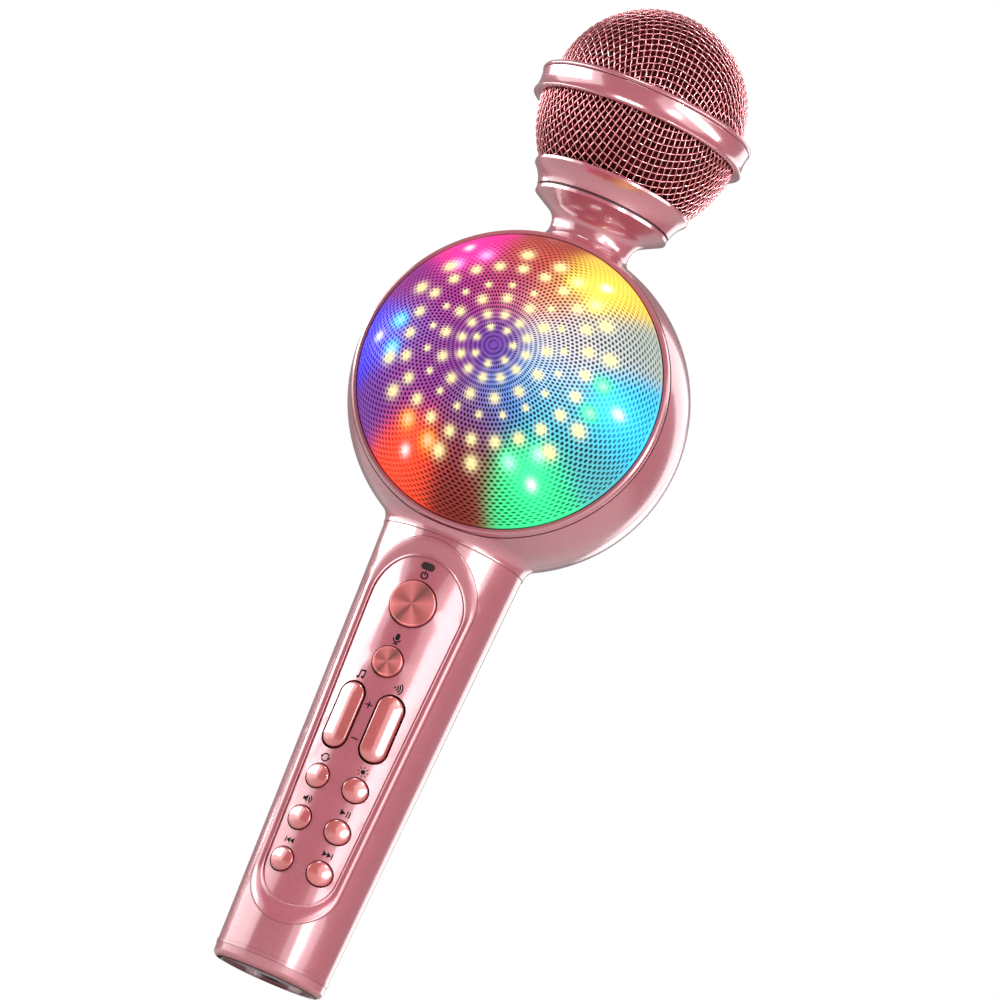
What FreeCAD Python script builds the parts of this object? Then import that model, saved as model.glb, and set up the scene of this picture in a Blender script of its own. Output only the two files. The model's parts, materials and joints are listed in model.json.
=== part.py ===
"""Karaoke microphone with a ball loudspeaker, as a parametric FreeCAD document.

Millimetres, +Z up along the handle towards the microphone head, the control
panel and the loudspeaker face -Y, and the origin is the centre of the base.
"""
import FreeCAD, Part
import math
import os
import re

import Sketcher

Vector = FreeCAD.Vector
Rotation = FreeCAD.Rotation

# Every driving dimension: alias, value and what it measures.
DIMENSIONS = [
    ("base_radius", 13.6, "handle radius at the base"),
    ("handle_taper", 0.0352, "growth of the handle radius per millimetre of height"),
    ("handle_start", 4.0, "height where the handle tube starts"),
    ("handle_end", 107.6, "height where the handle tube ends"),
    ("tube_wall", 1.8, "wall of the handle tube"),
    ("base_cap_height", 3.0, "height of the cap below the trim ring"),
    ("panel_top", 106.9, "top of the recess in the handle"),
    ("panel_bottom", 11.7, "bottom of the recess in the handle"),
    ("recess_wide", 13.5, "radius of the recess at its top end"),
    ("recess_narrow", 10.9, "radius of the recess at its bottom end"),
    ("plate_top", 102.1, "top of the control panel"),
    ("plate_bottom", 16.5, "bottom of the control panel"),
    ("plate_wide", 11.4, "radius of the control panel at its top end"),
    ("plate_narrow", 8.9, "radius of the control panel at its bottom end"),
    ("plate_sink", 1.1, "depth of the control panel below the handle surface"),
    ("plate_wall", 1.2, "thickness of the control panel"),
    ("key_rise", 0.7, "height of a key above the control panel"),
    ("key_gap", 0.2, "gap round a key"),
    ("key_flange", 0.5, "width of the flange that keeps a key in the panel"),
    ("board_front", 7.2, "distance of the main board's front from the axis"),
    ("board_wall", 1.0, "thickness of the boards"),
    ("ball_radius", 40.0, "outer radius of the ball"),
    ("ball_height", 146.5, "height of the ball's centre"),
    ("shell_wall", 2.2, "wall of the ball shells"),
    ("skirt_radius", 17.6, "radius of the ball's foot on the handle"),
    ("skirt_fillet", 4.0, "fillet between the ball and its foot"),
    ("neck_radius", 10.0, "narrowest radius of the neck"),
    ("neck_fillet", 3.0, "fillet between the ball and the neck"),
    ("neck_flare", 4.5, "radius of the neck's flare"),
    ("neck_lip", 16.6, "radius of the neck's lip"),
    ("neck_top", 195.3, "height of the neck's top face"),
    ("speaker_tilt", 3.3, "upward tilt of the loudspeaker's axis in degrees"),
    ("opening_radius", 37.35, "radius of the opening in the front shell"),
    ("grille_radius", 37.0, "spherical radius of the loudspeaker grille"),
    ("grille_offset", 6.5, "distance of the grille's sphere centre from the ball's centre"),
    ("grille_edge", 35.6, "radius of the loudspeaker grille's rim"),
    ("mesh_wall", 0.8, "thickness of the grilles"),
    ("carrier_radius", 34.4, "spherical radius of the lamp carrier"),
    ("baffle_back", 3.4, "distance of the baffle's back from the ball's centre"),
    ("baffle_wall", 2.0, "thickness of the baffle"),
    ("cone_radius", 24.5, "outer radius of the loudspeaker cone"),
    ("coil_radius", 7.6, "inner radius of the voice coil"),
    ("coil_wall", 0.6, "wall of the voice coil"),
    ("thread_radius", 12.7, "radius of the thread that carries the head"),
    ("collar_radius", 19.35, "radius of the head collar's lip"),
    ("band_radius", 26.4, "radius of the grille band"),
    ("band_waist", 0.9, "depth of the hollow round the grille band"),
    ("dome_radius", 23.5, "radius of the upper grille"),
    ("dome_height", 222.9, "height of the upper grille's sphere centre"),
    ("battery_radius", 9.15, "radius of the 18650 cell"),
    ("battery_length", 65.0, "length of the 18650 cell"),
    ("jack_bore", 1.8, "radius of the audio jack's bore"),
    ("jack_depth", 14.0, "depth of the audio jack's bore"),
]

doc = FreeCAD.newDocument("karaoke_microphone")
sheet = doc.addObject("Spreadsheet::Sheet", "dims")
for row, (alias, number, meaning) in enumerate(DIMENSIONS, start=1):
    sheet.set(f"A{row}", meaning)
    sheet.set(f"B{row}", str(number))
    sheet.setAlias(f"B{row}", alias)
doc.recompute()

ALIASES = {alias for alias, number, meaning in DIMENSIONS}
sub_parts = []


# ---------------------------------------------------------------- helpers

def bound(formula):
    """The formula with each alias written as a cell of the sheet."""
    def cell(word):
        name = word.group()
        return f"dims.{name}" if name in ALIASES else name

    return re.sub(r"[a-z_]+", cell, formula)


def value(formula):
    """The number that a formula of sheet aliases gives."""
    return float(sheet.evalExpression(formula))


def keep(piece, label):
    """Names a finished sub-part and puts it on the list that is written out."""
    piece.Label = label
    sub_parts.append(piece)
    return piece


def new_body(label):
    """An empty PartDesign body."""
    body = doc.addObject("PartDesign::Body", label + "_body")
    body.Label = label
    return body


def new_sketch(body, role="XZ_Plane", lift=0.0):
    """A sketch on one of the body's own origin planes, lifted along its normal."""
    sketch = body.newObject("Sketcher::SketchObject", "sketch")
    plane = [feature for feature in body.Origin.OriginFeatures if feature.Role == role][0]
    sketch.AttachmentSupport = (plane, [""])
    sketch.MapMode = "FlatFace"
    sketch.AttachmentOffset = FreeCAD.Placement(Vector(0, 0, lift), Rotation())
    return sketch


def arc_between(start, end, bend):
    """The arc from start to end; a positive bend has its centre on the left."""
    chord = end - start
    left = Vector(-chord.y, chord.x, 0).normalize()
    rise = math.sqrt(max(bend * bend - chord.Length ** 2 / 4, 0.0))
    centre = (start + end) * 0.5 + left * math.copysign(rise, bend)
    first, last = (start, end) if bend > 0 else (end, start)
    first_angle = math.atan2(first.y - centre.y, first.x - centre.x)
    last_angle = math.atan2(last.y - centre.y, last.x - centre.x)
    return Part.ArcOfCircle(Part.Circle(centre, Vector(0, 0, 1), abs(bend)), first_angle, last_angle)


def pin_point(sketch, edge, end, axis_name, axis_edge, formula):
    """Binds one coordinate of an edge's end to a formula of the sheet."""
    if value(formula) == 0:
        sketch.addConstraint(Sketcher.Constraint("PointOnObject", edge, end, axis_edge))
        return
    index = sketch.addConstraint(Sketcher.Constraint(axis_name, -1, 1, edge, end, value(formula)))
    sketch.setExpression(f"Constraints[{index}]", bound(formula))


def draw_outline(sketch, outline):
    """Draws a closed outline of (x, y) or (x, y, bend to the next point) formulas."""
    points = [Vector(value(corner[0]), value(corner[1]), 0) for corner in outline]
    count = len(outline)
    ends = []
    for index, corner in enumerate(outline):
        start, end = points[index], points[(index + 1) % count]
        bend = value(corner[2]) if len(corner) > 2 else 0.0
        shape = arc_between(start, end, bend) if bend else Part.LineSegment(start, end)
        sketch.addGeometry(shape, False)
        ends.append((2, 1) if bend < 0 else (1, 2))
    for index in range(count):
        after = (index + 1) % count
        joint = Sketcher.Constraint("Coincident", index, ends[index][1], after, ends[after][0])
        sketch.addConstraint(joint)
    for index, corner in enumerate(outline):
        pin_point(sketch, index, ends[index][0], "DistanceX", -2, corner[0])
        pin_point(sketch, index, ends[index][0], "DistanceY", -1, corner[1])
        if len(corner) > 2:
            size = corner[2].lstrip("-")
            number = sketch.addConstraint(Sketcher.Constraint("Radius", index, value(size)))
            sketch.setExpression(f"Constraints[{number}]", bound(size))


def draw_circle(sketch, x, y, radius):
    """Draws a circle whose centre and radius are formulas."""
    sketch.addGeometry(Part.Circle(Vector(value(x), value(y), 0), Vector(0, 0, 1), value(radius)), False)
    pin_point(sketch, 0, 3, "DistanceX", -2, x)
    pin_point(sketch, 0, 3, "DistanceY", -1, y)
    number = sketch.addConstraint(Sketcher.Constraint("Radius", 0, value(radius)))
    sketch.setExpression(f"Constraints[{number}]", bound(radius))


def turn(body, outline, kind="Revolution", angle=360.0, reverse=False):
    """Revolves an outline of (radius, height) formulas about the body's Z axis."""
    sketch = new_sketch(body)
    draw_outline(sketch, outline)
    feature = body.newObject("PartDesign::" + kind, kind.lower())
    feature.Profile = sketch
    feature.ReferenceAxis = (sketch, ["V_Axis"])
    feature.Angle = angle
    feature.Reversed = reverse
    return feature


def turned(label, outline, placement=None):
    """A sub-part that is one turned profile."""
    body = new_body(label)
    turn(body, outline)
    if placement:
        body.Placement = placement
    return keep(body, label)


def extrude(body, sketch, length, kind="Pad"):
    """Pads or pockets a sketch by a length, towards -Y from the XZ plane."""
    feature = body.newObject("PartDesign::" + kind, kind.lower())
    feature.Profile = sketch
    feature.Length = length
    feature.Reversed = kind == "Pocket"
    return feature


def cylinder(radius, bottom, top, x=0.0, y=0.0, placement=None):
    """A Part cylinder along local Z from bottom to top, at x and y."""
    piece = doc.addObject("Part::Cylinder", "cylinder")
    piece.setExpression("Radius", bound(radius))
    piece.Height = top - bottom
    place = placement or FreeCAD.Placement()
    piece.Placement = place * FreeCAD.Placement(Vector(x, y, bottom), Rotation())
    return piece


def block(low, high, placement=None):
    """A Part box between two corners."""
    piece = doc.addObject("Part::Box", "block")
    piece.Length, piece.Width, piece.Height = [high[axis] - low[axis] for axis in range(3)]
    place = placement or FreeCAD.Placement()
    piece.Placement = place * FreeCAD.Placement(Vector(*low), Rotation())
    return piece


def peg(radius, length, x, y, height):
    """A Part cylinder that starts at a point and runs towards -Y."""
    piece = cylinder(radius, 0.0, length)
    piece.Placement = FreeCAD.Placement(Vector(x, y, height), Rotation(Vector(1, 0, 0), 90))
    return piece


def axle(radius, half, y, height):
    """A Part cylinder along X, centred on the handle's middle plane."""
    piece = cylinder(radius, 0.0, 2 * half)
    piece.Placement = FreeCAD.Placement(Vector(-half, y, height), Rotation(Vector(0, 1, 0), 90))
    return piece


def on_ring(radius, angle):
    """Local X and Y of a point on a circle, from its angle in degrees."""
    return radius * math.cos(math.radians(angle)), radius * math.sin(math.radians(angle))


def joined(pieces):
    """The union of several Part objects."""
    fuse = doc.addObject("Part::MultiFuse", "fuse")
    fuse.Shapes = pieces
    return fuse


def cut(base, tool):
    """The base without the tool."""
    piece = doc.addObject("Part::Cut", "cut")
    piece.Base, piece.Tool = base, tool
    return piece


def common(base, tool):
    """What the base and the tool share."""
    piece = doc.addObject("Part::Common", "common")
    piece.Base, piece.Tool = base, tool
    return piece


def group(label, pieces):
    """A sub-part made of several separate solids."""
    compound = doc.addObject("Part::Compound", label + "_group")
    compound.Links = pieces
    return keep(compound, label)


# ---------------------------------------------------------------- handle

AXIS_FACE_REACH = 25.0      # any length that passes from the axis through the handle's front
FIT = 0.05                  # gap between parts that are fastened together
RING_PROUD = "0.15"         # how far the base's trim ring stands out of the handle
ABOVE_PANEL = "120"         # a height above everything on the handle
OUTSIDE_HANDLE = "60"       # a radius outside everything on the handle


def handle_radius(height, offset="0"):
    """Formula of the handle's outer radius at a height, plus an offset."""
    return f"base_radius + handle_taper * ({height}) + ({offset})"


def stadium(x, bottom, top, narrow, wide):
    """An upright stadium with a narrow lower end and a wide upper end."""
    lean = f"(({wide}) - ({narrow})) / (({top}) - ({bottom}) - ({wide}) - ({narrow}))"
    across = f"sqrt(1 - ({lean}) ^ 2)"
    high = f"({top}) - ({wide}) * (1 + {lean})"
    low = f"({bottom}) + ({narrow}) * (1 - {lean})"
    return [
        (f"{x} + ({narrow}) * {across}", low),
        (f"{x} + ({wide}) * {across}", high, f"{wide}"),
        (f"{x}", f"{top}", f"{wide}"),
        (f"{x} - ({wide}) * {across}", high),
        (f"{x} - ({narrow}) * {across}", low, f"{narrow}"),
        (f"{x}", f"{bottom}", f"{narrow}"),
    ]


def recess_outline(gap):
    """Outer outline of the recess in the handle, grown by a gap."""
    return stadium(0, f"panel_bottom - {gap}", f"panel_top + {gap}",
                   f"recess_narrow + {gap}", f"recess_wide + {gap}")


def plate_outline(gap):
    """Outline of the control panel, grown by a gap."""
    return stadium(0, f"plate_bottom - {gap}", f"plate_top + {gap}",
                   f"plate_narrow + {gap}", f"plate_wide + {gap}")


def groove_outside(body, outside):
    """Trims a body to a surface that follows the handle's taper."""
    turn(body, [
        (handle_radius("0", outside), "0"),
        (OUTSIDE_HANDLE, "0"),
        (OUTSIDE_HANDLE, ABOVE_PANEL),
        (handle_radius(ABOVE_PANEL, outside), ABOVE_PANEL),
    ], "Groove")


def trim_to_handle(body, outside, inside):
    """Trims a body between two surfaces that follow the handle's taper."""
    groove_outside(body, outside)
    turn(body, [
        ("0", "0"),
        (handle_radius("0", inside), "0"),
        (handle_radius(ABOVE_PANEL, inside), ABOVE_PANEL),
        ("0", ABOVE_PANEL),
    ], "Groove")


def pad_outline(body, outline, lift=0.0, length=AXIS_FACE_REACH, kind="Pad"):
    """Pads or pockets an outline from a plane in front of the axis towards -Y."""
    sketch = new_sketch(body, lift=lift)
    draw_outline(sketch, outline)
    return extrude(body, sketch, length, kind)


def pad_circle(body, x, height, radius, lift=0.0, length=AXIS_FACE_REACH, kind="Pad"):
    """Pads or pockets a circle from a plane in front of the axis towards -Y."""
    sketch = new_sketch(body, lift=lift)
    draw_circle(sketch, x, height, radius)
    return extrude(body, sketch, length, kind)


def make_handle_tube():
    body = new_body("handle_tube")
    turn(body, [
        (handle_radius("handle_start"), "handle_start"),
        (handle_radius("handle_end"), "handle_end"),
        (handle_radius("handle_end", "-tube_wall"), "handle_end"),
        (handle_radius("handle_start", "-tube_wall"), "handle_start"),
    ])
    pad_outline(body, recess_outline(FIT), kind="Pocket")
    keep(body, "handle_tube")


SOCKET_PORT = (4.7, 1.8)        # half width and half height of the charging port
SOCKET_PLACE = -5.2             # the charging port's distance in front of the axis
JACK_PLACE = 5.2                # the audio jack's distance behind the axis
JACK_SLEEVE = "jack_bore + 1.0"
BASE_FLOOR = "0.6"              # height of the recessed underside
FOOT_EDGE = "1.5"               # radius of the base's rounded edge
PLUG_TOP = "9"                  # top of the base cap's plug inside the tube
PLUG_RADIUS = "base_radius - tube_wall - 0.1"
PLUG_BORE = "base_radius - tube_wall - 1.4"
CAP_FLOOR = "2.4"               # inside height of the base cap's floor


def make_base():
    body = new_body("base_cap")
    turn(body, [
        ("0", BASE_FLOOR),
        ("base_radius - 2.6", BASE_FLOOR),
        ("base_radius - 2.6", "0"),
        (f"base_radius - {FOOT_EDGE}", "0", FOOT_EDGE),
        ("base_radius", FOOT_EDGE),
        (handle_radius("base_cap_height"), "base_cap_height"),
        (PLUG_RADIUS, "base_cap_height"),
        (PLUG_RADIUS, PLUG_TOP),
        (PLUG_BORE, PLUG_TOP),
        (PLUG_BORE, CAP_FLOOR),
        ("0", CAP_FLOOR),
    ])
    port = new_sketch(body, "XY_Plane")
    wide, high = SOCKET_PORT
    draw_outline(port, [
        (f"{-wide}", f"{SOCKET_PLACE - high}"), (f"{wide}", f"{SOCKET_PLACE - high}"),
        (f"{wide}", f"{SOCKET_PLACE + high}"), (f"{-wide}", f"{SOCKET_PLACE + high}")])
    port_cut = extrude(body, port, 5.0, "Pocket")
    jack = new_sketch(body, "XY_Plane")
    draw_circle(jack, "0", f"{JACK_PLACE}", f"{JACK_SLEEVE} + {FIT}")
    jack_cut = extrude(body, jack, 5.0, "Pocket")
    port_cut.Reversed = jack_cut.Reversed = True
    keep(body, "base_cap")
    turned("base_trim_ring", [
        (f"base_radius - tube_wall + {FIT}", f"base_cap_height + {FIT}"),
        (handle_radius("base_cap_height", RING_PROUD), f"base_cap_height + {FIT}"),
        (handle_radius("handle_start", RING_PROUD), f"handle_start - {FIT}"),
        (f"base_radius - tube_wall + {FIT}", f"handle_start - {FIT}"),
    ])


def outline_points(bottom, top, narrow, wide, steps):
    """Points round an upright stadium, in step with any other stadium's."""
    lean = (wide - narrow) / (top - bottom - wide - narrow)
    tilt = math.asin(lean)
    points = []
    for end, centre, radius in ((0, top - wide, wide), (1, bottom + narrow, narrow)):
        first = -tilt if end == 0 else math.pi + tilt
        sweep = math.pi + 2 * tilt if end == 0 else math.pi - 2 * tilt
        for index in range(steps + 1):
            angle = first + sweep * index / steps
            points.append((radius * math.cos(angle), centre + radius * math.sin(angle)))
    return points


FRAME_STEPS = 22            # facets round each end of the panel frame


def make_panel_frame():
    """The sloping frame from the handle's surface down to the control panel."""
    outer = outline_points(
        value("panel_bottom"), value("panel_top"),
        value("recess_narrow"), value("recess_wide"), FRAME_STEPS)
    inner = outline_points(
        value(f"plate_bottom - {FIT}"), value(f"plate_top + {FIT}"),
        value(f"plate_narrow + {FIT}"), value(f"plate_wide + {FIT}"), FRAME_STEPS)

    def on_handle(point, offset):
        radius = value(handle_radius(point[1])) + offset
        return Vector(point[0], -math.sqrt(radius ** 2 - point[0] ** 2), point[1])

    sink = value("plate_sink")
    under = sink + value("plate_wall")
    sections = []
    for edge, floor in zip(outer, inner):
        front = [on_handle(edge, 0.0), on_handle(floor, -sink)]
        back = [on_handle(floor, -under), on_handle(edge, -under)]
        sections.append(front + back)
    faces = []
    for here, there in zip(sections, sections[1:] + sections[:1]):
        for corner in range(len(here)):
            beyond = (corner + 1) % len(here)
            for second, third in ((here[beyond], there[beyond]), (there[beyond], there[corner])):
                triangle = Part.makePolygon([here[corner], second, third, here[corner]])
                faces.append(Part.Face(triangle))
    frame = doc.addObject("Part::Feature", "panel_frame")
    frame.Shape = Part.makeSolid(Part.makeShell(faces))
    keep(frame, "panel_frame")


# Keys on the control panel: label, place across, height, half width, half length beyond the ends' radius.
KEYS = [
    ("power_button", 0.0, 90.9, 5.5, 0.0),
    ("voice_button", 0.0, 76.4, 3.65, 0.0),
    ("music_volume_rocker", -4.85, 61.5, 3.05, 5.05),
    ("echo_volume_rocker", 4.85, 61.5, 3.05, 5.05),
    ("mode_button", -4.8, 46.2, 2.9, 0.0),
    ("light_button", 4.8, 46.2, 2.9, 0.0),
    ("speaker_button", -4.8, 35.8, 2.9, 0.0),
    ("play_button", 4.8, 35.8, 2.9, 0.0),
    ("previous_button", -4.8, 25.5, 2.9, 0.0),
    ("next_button", 4.8, 25.5, 2.9, 0.0),
]
ROCKER_GAP = 0.35
ROCKER_BACK = 8.8           # distance of the rockers' backs from the axis plane
PIVOT_DEPTH = 9.9           # distance of the rockers' pin from the axis plane
PIN_RADIUS = 0.6
PIN_PLAY = 0.05
PIN_HALF = 8.0
FLANGE_SPAN = ("0.1", "0.7")    # a button's flange starts and ends this far behind the panel
STEM_RADIUS = "1.0"
POST_RADIUS = "1.7"         # posts behind the panel that carry the main board
POST_BORE = "0.85"
STEM_END = 9.6              # distance of the stems' ends from the axis plane
BOARD_SCREWS = [(0.0, 20.0), (-5.8, 97.5), (5.8, 97.5)]
PANEL_UNDER = "-plate_sink - plate_wall"


def key_outline(key, grow):
    """Outline of a rocker, grown by a gap."""
    label, x, height, half, reach = key
    size = f"{half} + {grow}"
    return stadium(x, f"{height - reach - half} - {grow}", f"{height + reach + half} + {grow}", size, size)


def key_shape(body, key, grow, kind="Pad"):
    """Pads or pockets a key's outline through the front of the handle."""
    if key[4]:
        pad_outline(body, key_outline(key, grow), kind=kind)
    else:
        pad_circle(body, f"{key[1]}", f"{key[2]}", f"{key[3]} + {grow}", kind=kind)


def depth_at(x, height, offset):
    """Distance in front of the axis plane of the handle's surface, moved by an offset."""
    return math.sqrt(value(handle_radius(f"{height}", offset)) ** 2 - x ** 2)


def make_control_panel():
    body = new_body("control_panel")
    pad_outline(body, plate_outline(0))
    trim_to_handle(body, "-plate_sink", PANEL_UNDER)
    for key in KEYS:
        key_shape(body, key, ROCKER_GAP if key[4] else "key_gap", "Pocket")
    pad_outline(body, lens_outline(FIT), kind="Pocket")
    board_front = value("board_front")
    for x, height in BOARD_SCREWS:
        length = depth_at(x, height, PANEL_UNDER) - board_front + 0.5
        pad_circle(body, f"{x}", f"{height}", POST_RADIUS, board_front + FIT, length - FIT)
        pad_circle(body, f"{x}", f"{height}", POST_BORE, board_front, length - 1.0, "Pocket")
    keep(body, "control_panel")


def lens_outline(grow):
    """Outline of the indicator's window: a short stadium lying across the panel."""
    half = 0.85
    reach = 0.75
    height = 100.2
    right, left = f"{reach}", f"{-reach}"
    size = f"{half} + {grow}"
    return [
        (right, f"{height - half} - {grow}", size), (f"{reach + half} + {grow}", f"{height}", size),
        (right, f"{height + half} + {grow}"), (left, f"{height + half} + {grow}", size),
        (f"{-reach - half} - {grow}", f"{height}", size), (left, f"{height - half} - {grow}")]


def make_indicator_lens():
    body = new_body("indicator_lens")
    pad_outline(body, lens_outline(0))
    trim_to_handle(body, "-plate_sink + 0.1", PANEL_UNDER + " - 0.5")
    keep(body, "indicator_lens")


def make_button(key):
    """A push button: cap, retaining flange behind the panel, and stem over its switch."""
    label, x, height, half, reach = key
    flange_front, flange_back = [f"{PANEL_UNDER} - {depth}" for depth in FLANGE_SPAN]
    body = new_body(label)
    key_shape(body, key, "key_flange")
    groove_outside(body, flange_front)
    key_shape(body, key, "0")
    trim_to_handle(body, "-plate_sink + key_rise", flange_back)
    stem = depth_at(x, height, flange_back) - STEM_END + 0.3
    pad_circle(body, f"{x}", f"{height}", STEM_RADIUS, STEM_END, stem)
    keep(body, label)


def make_rocker(key):
    """A volume rocker that turns on a pin across the handle."""
    label, x, height, half, reach = key
    body = new_body(label)
    pad_outline(body, key_outline(key, "0"), lift=ROCKER_BACK)
    groove_outside(body, "-plate_sink + key_rise")
    bore = new_sketch(body, "YZ_Plane", lift=x - half - 1.0)
    draw_circle(bore, f"{-PIVOT_DEPTH}", f"{height}", f"{PIN_RADIUS + PIN_PLAY}")
    hole = extrude(body, bore, 2 * half + 2.0, "Pocket")
    hole.Reversed = True
    keep(body, label)


def make_rocker_mount():
    height = KEYS[2][2]
    keep(axle(f"{PIN_RADIUS}", PIN_HALF, -PIVOT_DEPTH, height), "rocker_pin")
    ear = block((-1.25, -11.4, height - 2.2), (1.25, -value("board_front") - FIT, height + 2.2))
    bore = axle(f"{PIN_RADIUS + 0.02}", PIN_HALF / 2, -PIVOT_DEPTH, height)
    keep(cut(ear, bore), "rocker_bracket")


# ---------------------------------------------------------------- electronics in the handle

BOARD_BOTTOM, BOARD_TOP, BOARD_HALF = 14.0, 101.0, 7.6
SWITCH_HALF = 1.6
HIGH_SWITCH = (1.2, 1.7)    # case height and plunger length of a switch under a button
LOW_SWITCH = (0.8, 0.9)     # the same under a rocker
ROCKER_SWITCH = 6.2         # distance of a rocker's switches from its pin
BATTERY_BACK, BATTERY_BOTTOM = 3.3, 26.0
SOCKET_BOARD_TOP = 18.0


def make_boards():
    front = -value("board_front")
    back = front + value("board_wall")
    board = block((-BOARD_HALF, front, BOARD_BOTTOM), (BOARD_HALF, back, BOARD_TOP))
    holes = [peg("0.9", 4.0, x, back + 1.0, height) for x, height in BOARD_SCREWS]
    keep(cut(board, joined(holes)), "main_board")

    chips = [
        block((-3.5, front - 1.0, 69.5), (3.5, front - FIT, 74.0)),
        block((-6.8, front - 1.5, 50.5), (-2.0, front - FIT, 53.0)),
        block((2.0, front - 1.5, 50.5), (6.8, front - FIT, 53.0)),
        block((-6.5, front - 1.2, 84.0), (-3.5, front - FIT, 87.0)),
        block((3.5, front - 1.2, 84.0), (6.5, front - FIT, 87.0)),
    ]
    group("board_chips", chips)

    switches = []
    for label, x, height, half, reach in KEYS:
        rise, plunger = LOW_SWITCH if reach else HIGH_SWITCH
        for offset in (-ROCKER_SWITCH, ROCKER_SWITCH) if reach else (0.0,):
            middle = height + offset
            low = (x - SWITCH_HALF, front - rise, middle - SWITCH_HALF)
            high = (x + SWITCH_HALF, front - FIT, middle + SWITCH_HALF)
            switches.append(joined([block(low, high), peg("0.8", plunger, x, front - 0.1, middle)]))
    group("tact_switches", switches)

    screws = []
    for x, height in BOARD_SCREWS:
        head = peg("1.5", 0.9, x, back + FIT + 0.9, height)
        shank = peg("0.8", 4.5, x, back + 0.5, height)
        screws.append(joined([head, shank]))
    group("board_screws", screws)


def make_battery():
    top = BATTERY_BOTTOM + value("battery_length")
    place = FreeCAD.Placement(Vector(0, BATTERY_BACK, 0), Rotation())
    cell = cylinder("battery_radius", BATTERY_BOTTOM, top - 0.8, placement=place)
    nipple = cylinder("2.8", top - 1.0, top, placement=place)
    keep(joined([cell, nipple]), "battery_cell")

    clip_spans = ((64.0, 70.0), (80.0, 86.0))
    outer = [cylinder("battery_radius + 1.3", low, high, placement=place) for low, high in clip_spans]
    spine = block((-2.5, BATTERY_BACK + 9.5, 64.0), (2.5, BATTERY_BACK + 10.3, 86.0))
    hollow = cylinder("battery_radius + 0.1", 60.0, 90.0, placement=place)
    mouth = block((-12.0, -9.0, 60.0), (12.0, BATTERY_BACK - 3.0, 90.0))
    keep(cut(joined(outer + [spine]), joined([hollow, mouth])), "battery_cradle")

    plates = []
    for low in (BATTERY_BOTTOM - 0.9, top + 0.1):
        plates.append(cylinder("5.0", low, low + 0.8, placement=place))
    group("battery_terminals", plates)


def make_sockets():
    board_wall = value("board_wall")
    keep(block((-7.5, -board_wall, 3.2), (7.5, 0.0, SOCKET_BOARD_TOP)), "socket_board")

    shell = block((-4.5, SOCKET_PLACE - 1.6, 0.8), (4.5, SOCKET_PLACE + 1.6, 8.2))
    mouth = block((-4.1, SOCKET_PLACE - 1.2, 0.0), (4.1, SOCKET_PLACE + 1.2, 7.4))
    tongue = block((-3.3, SOCKET_PLACE - 0.35, 1.6), (3.3, SOCKET_PLACE + 0.35, 7.6))
    foot = block((-4.5, SOCKET_PLACE + 1.55, 3.2), (4.5, -board_wall - FIT, 8.2))
    keep(joined([cut(shell, mouth), tongue, foot]), "charge_socket")

    depth = value("jack_depth")
    mouth_height = 0.6
    place = FreeCAD.Placement(Vector(0, JACK_PLACE, 0), Rotation())
    sleeve = cylinder(JACK_SLEEVE, mouth_height, 4.0, placement=place)
    case = block((-3.2, FIT, 3.2), (3.2, JACK_PLACE + 3.2, mouth_height + depth + 1.5))
    bore = cylinder("jack_bore", 0.0, mouth_height + depth, placement=place)
    keep(cut(joined([sleeve, case]), bore), "audio_jack")


# ---------------------------------------------------------------- ball

SKIRT_BOTTOM = "handle_end + 0.3"
SKIRT_BORE = 15.0
NECK_BORE = 8.2
SEAM_ANGLE = 0.2            # half of the seam between the shells, in degrees
INNER_BALL = "(ball_radius - shell_wall)"
SCREW_RING = 31.3
SCREW_ANGLES = (30, 150, 210, 330)
SCREW_SEAT = -12.0
BEZEL_TOP = 16.6


def speaker_place():
    """Placement whose local Z is the loudspeaker's axis, out of the ball's front."""
    turn_up = Rotation(Vector(1, 0, 0), 90 - value("speaker_tilt"))
    return FreeCAD.Placement(Vector(0, 0, value("ball_height")), turn_up)


def ball_profile():
    """Foot, ball and neck: the outer surface upwards, then the inner one down."""
    foot = "(skirt_radius + skirt_fillet)"
    foot_reach = "(ball_radius + skirt_fillet)"
    foot_drop = f"sqrt({foot_reach} ^ 2 - {foot} ^ 2)"
    throat = "(neck_radius + neck_fillet)"
    throat_reach = "(ball_radius + neck_fillet)"
    throat_rise = f"sqrt({throat_reach} ^ 2 - {throat} ^ 2)"
    flare_slope = "(neck_lip - neck_radius - neck_flare / 2) / sqrt(3)"
    flare_start = f"neck_top - 0.8 - {flare_slope} - neck_flare * sqrt(3) / 2"
    seat = "neck_top - 1.45"
    return [
        ("skirt_radius", SKIRT_BOTTOM),
        ("skirt_radius", f"ball_height - {foot_drop}", "-skirt_fillet"),
        (f"{foot} * ball_radius / {foot_reach}",
         f"ball_height - {foot_drop} * ball_radius / {foot_reach}", "ball_radius"),
        (f"{throat} * ball_radius / {throat_reach}",
         f"ball_height + {throat_rise} * ball_radius / {throat_reach}", "-neck_fillet"),
        ("neck_radius", f"ball_height + {throat_rise}"),
        ("neck_radius", flare_start, "-neck_flare"),
        ("neck_radius + neck_flare / 2", f"{flare_start} + neck_flare * sqrt(3) / 2"),
        ("neck_lip", "neck_top - 0.8"),
        ("neck_lip", "neck_top"),
        (f"thread_radius + {FIT}", "neck_top"),
        (f"thread_radius + {FIT}", seat),
        (f"{NECK_BORE}", seat),
        (f"{NECK_BORE}", f"ball_height + sqrt({INNER_BALL} ^ 2 - {NECK_BORE} ^ 2)", f"-{INNER_BALL}"),
        (f"{SKIRT_BORE}", f"ball_height - sqrt({INNER_BALL} ^ 2 - {SKIRT_BORE} ^ 2)"),
        (f"{SKIRT_BORE}", SKIRT_BOTTOM),
    ]


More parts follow.
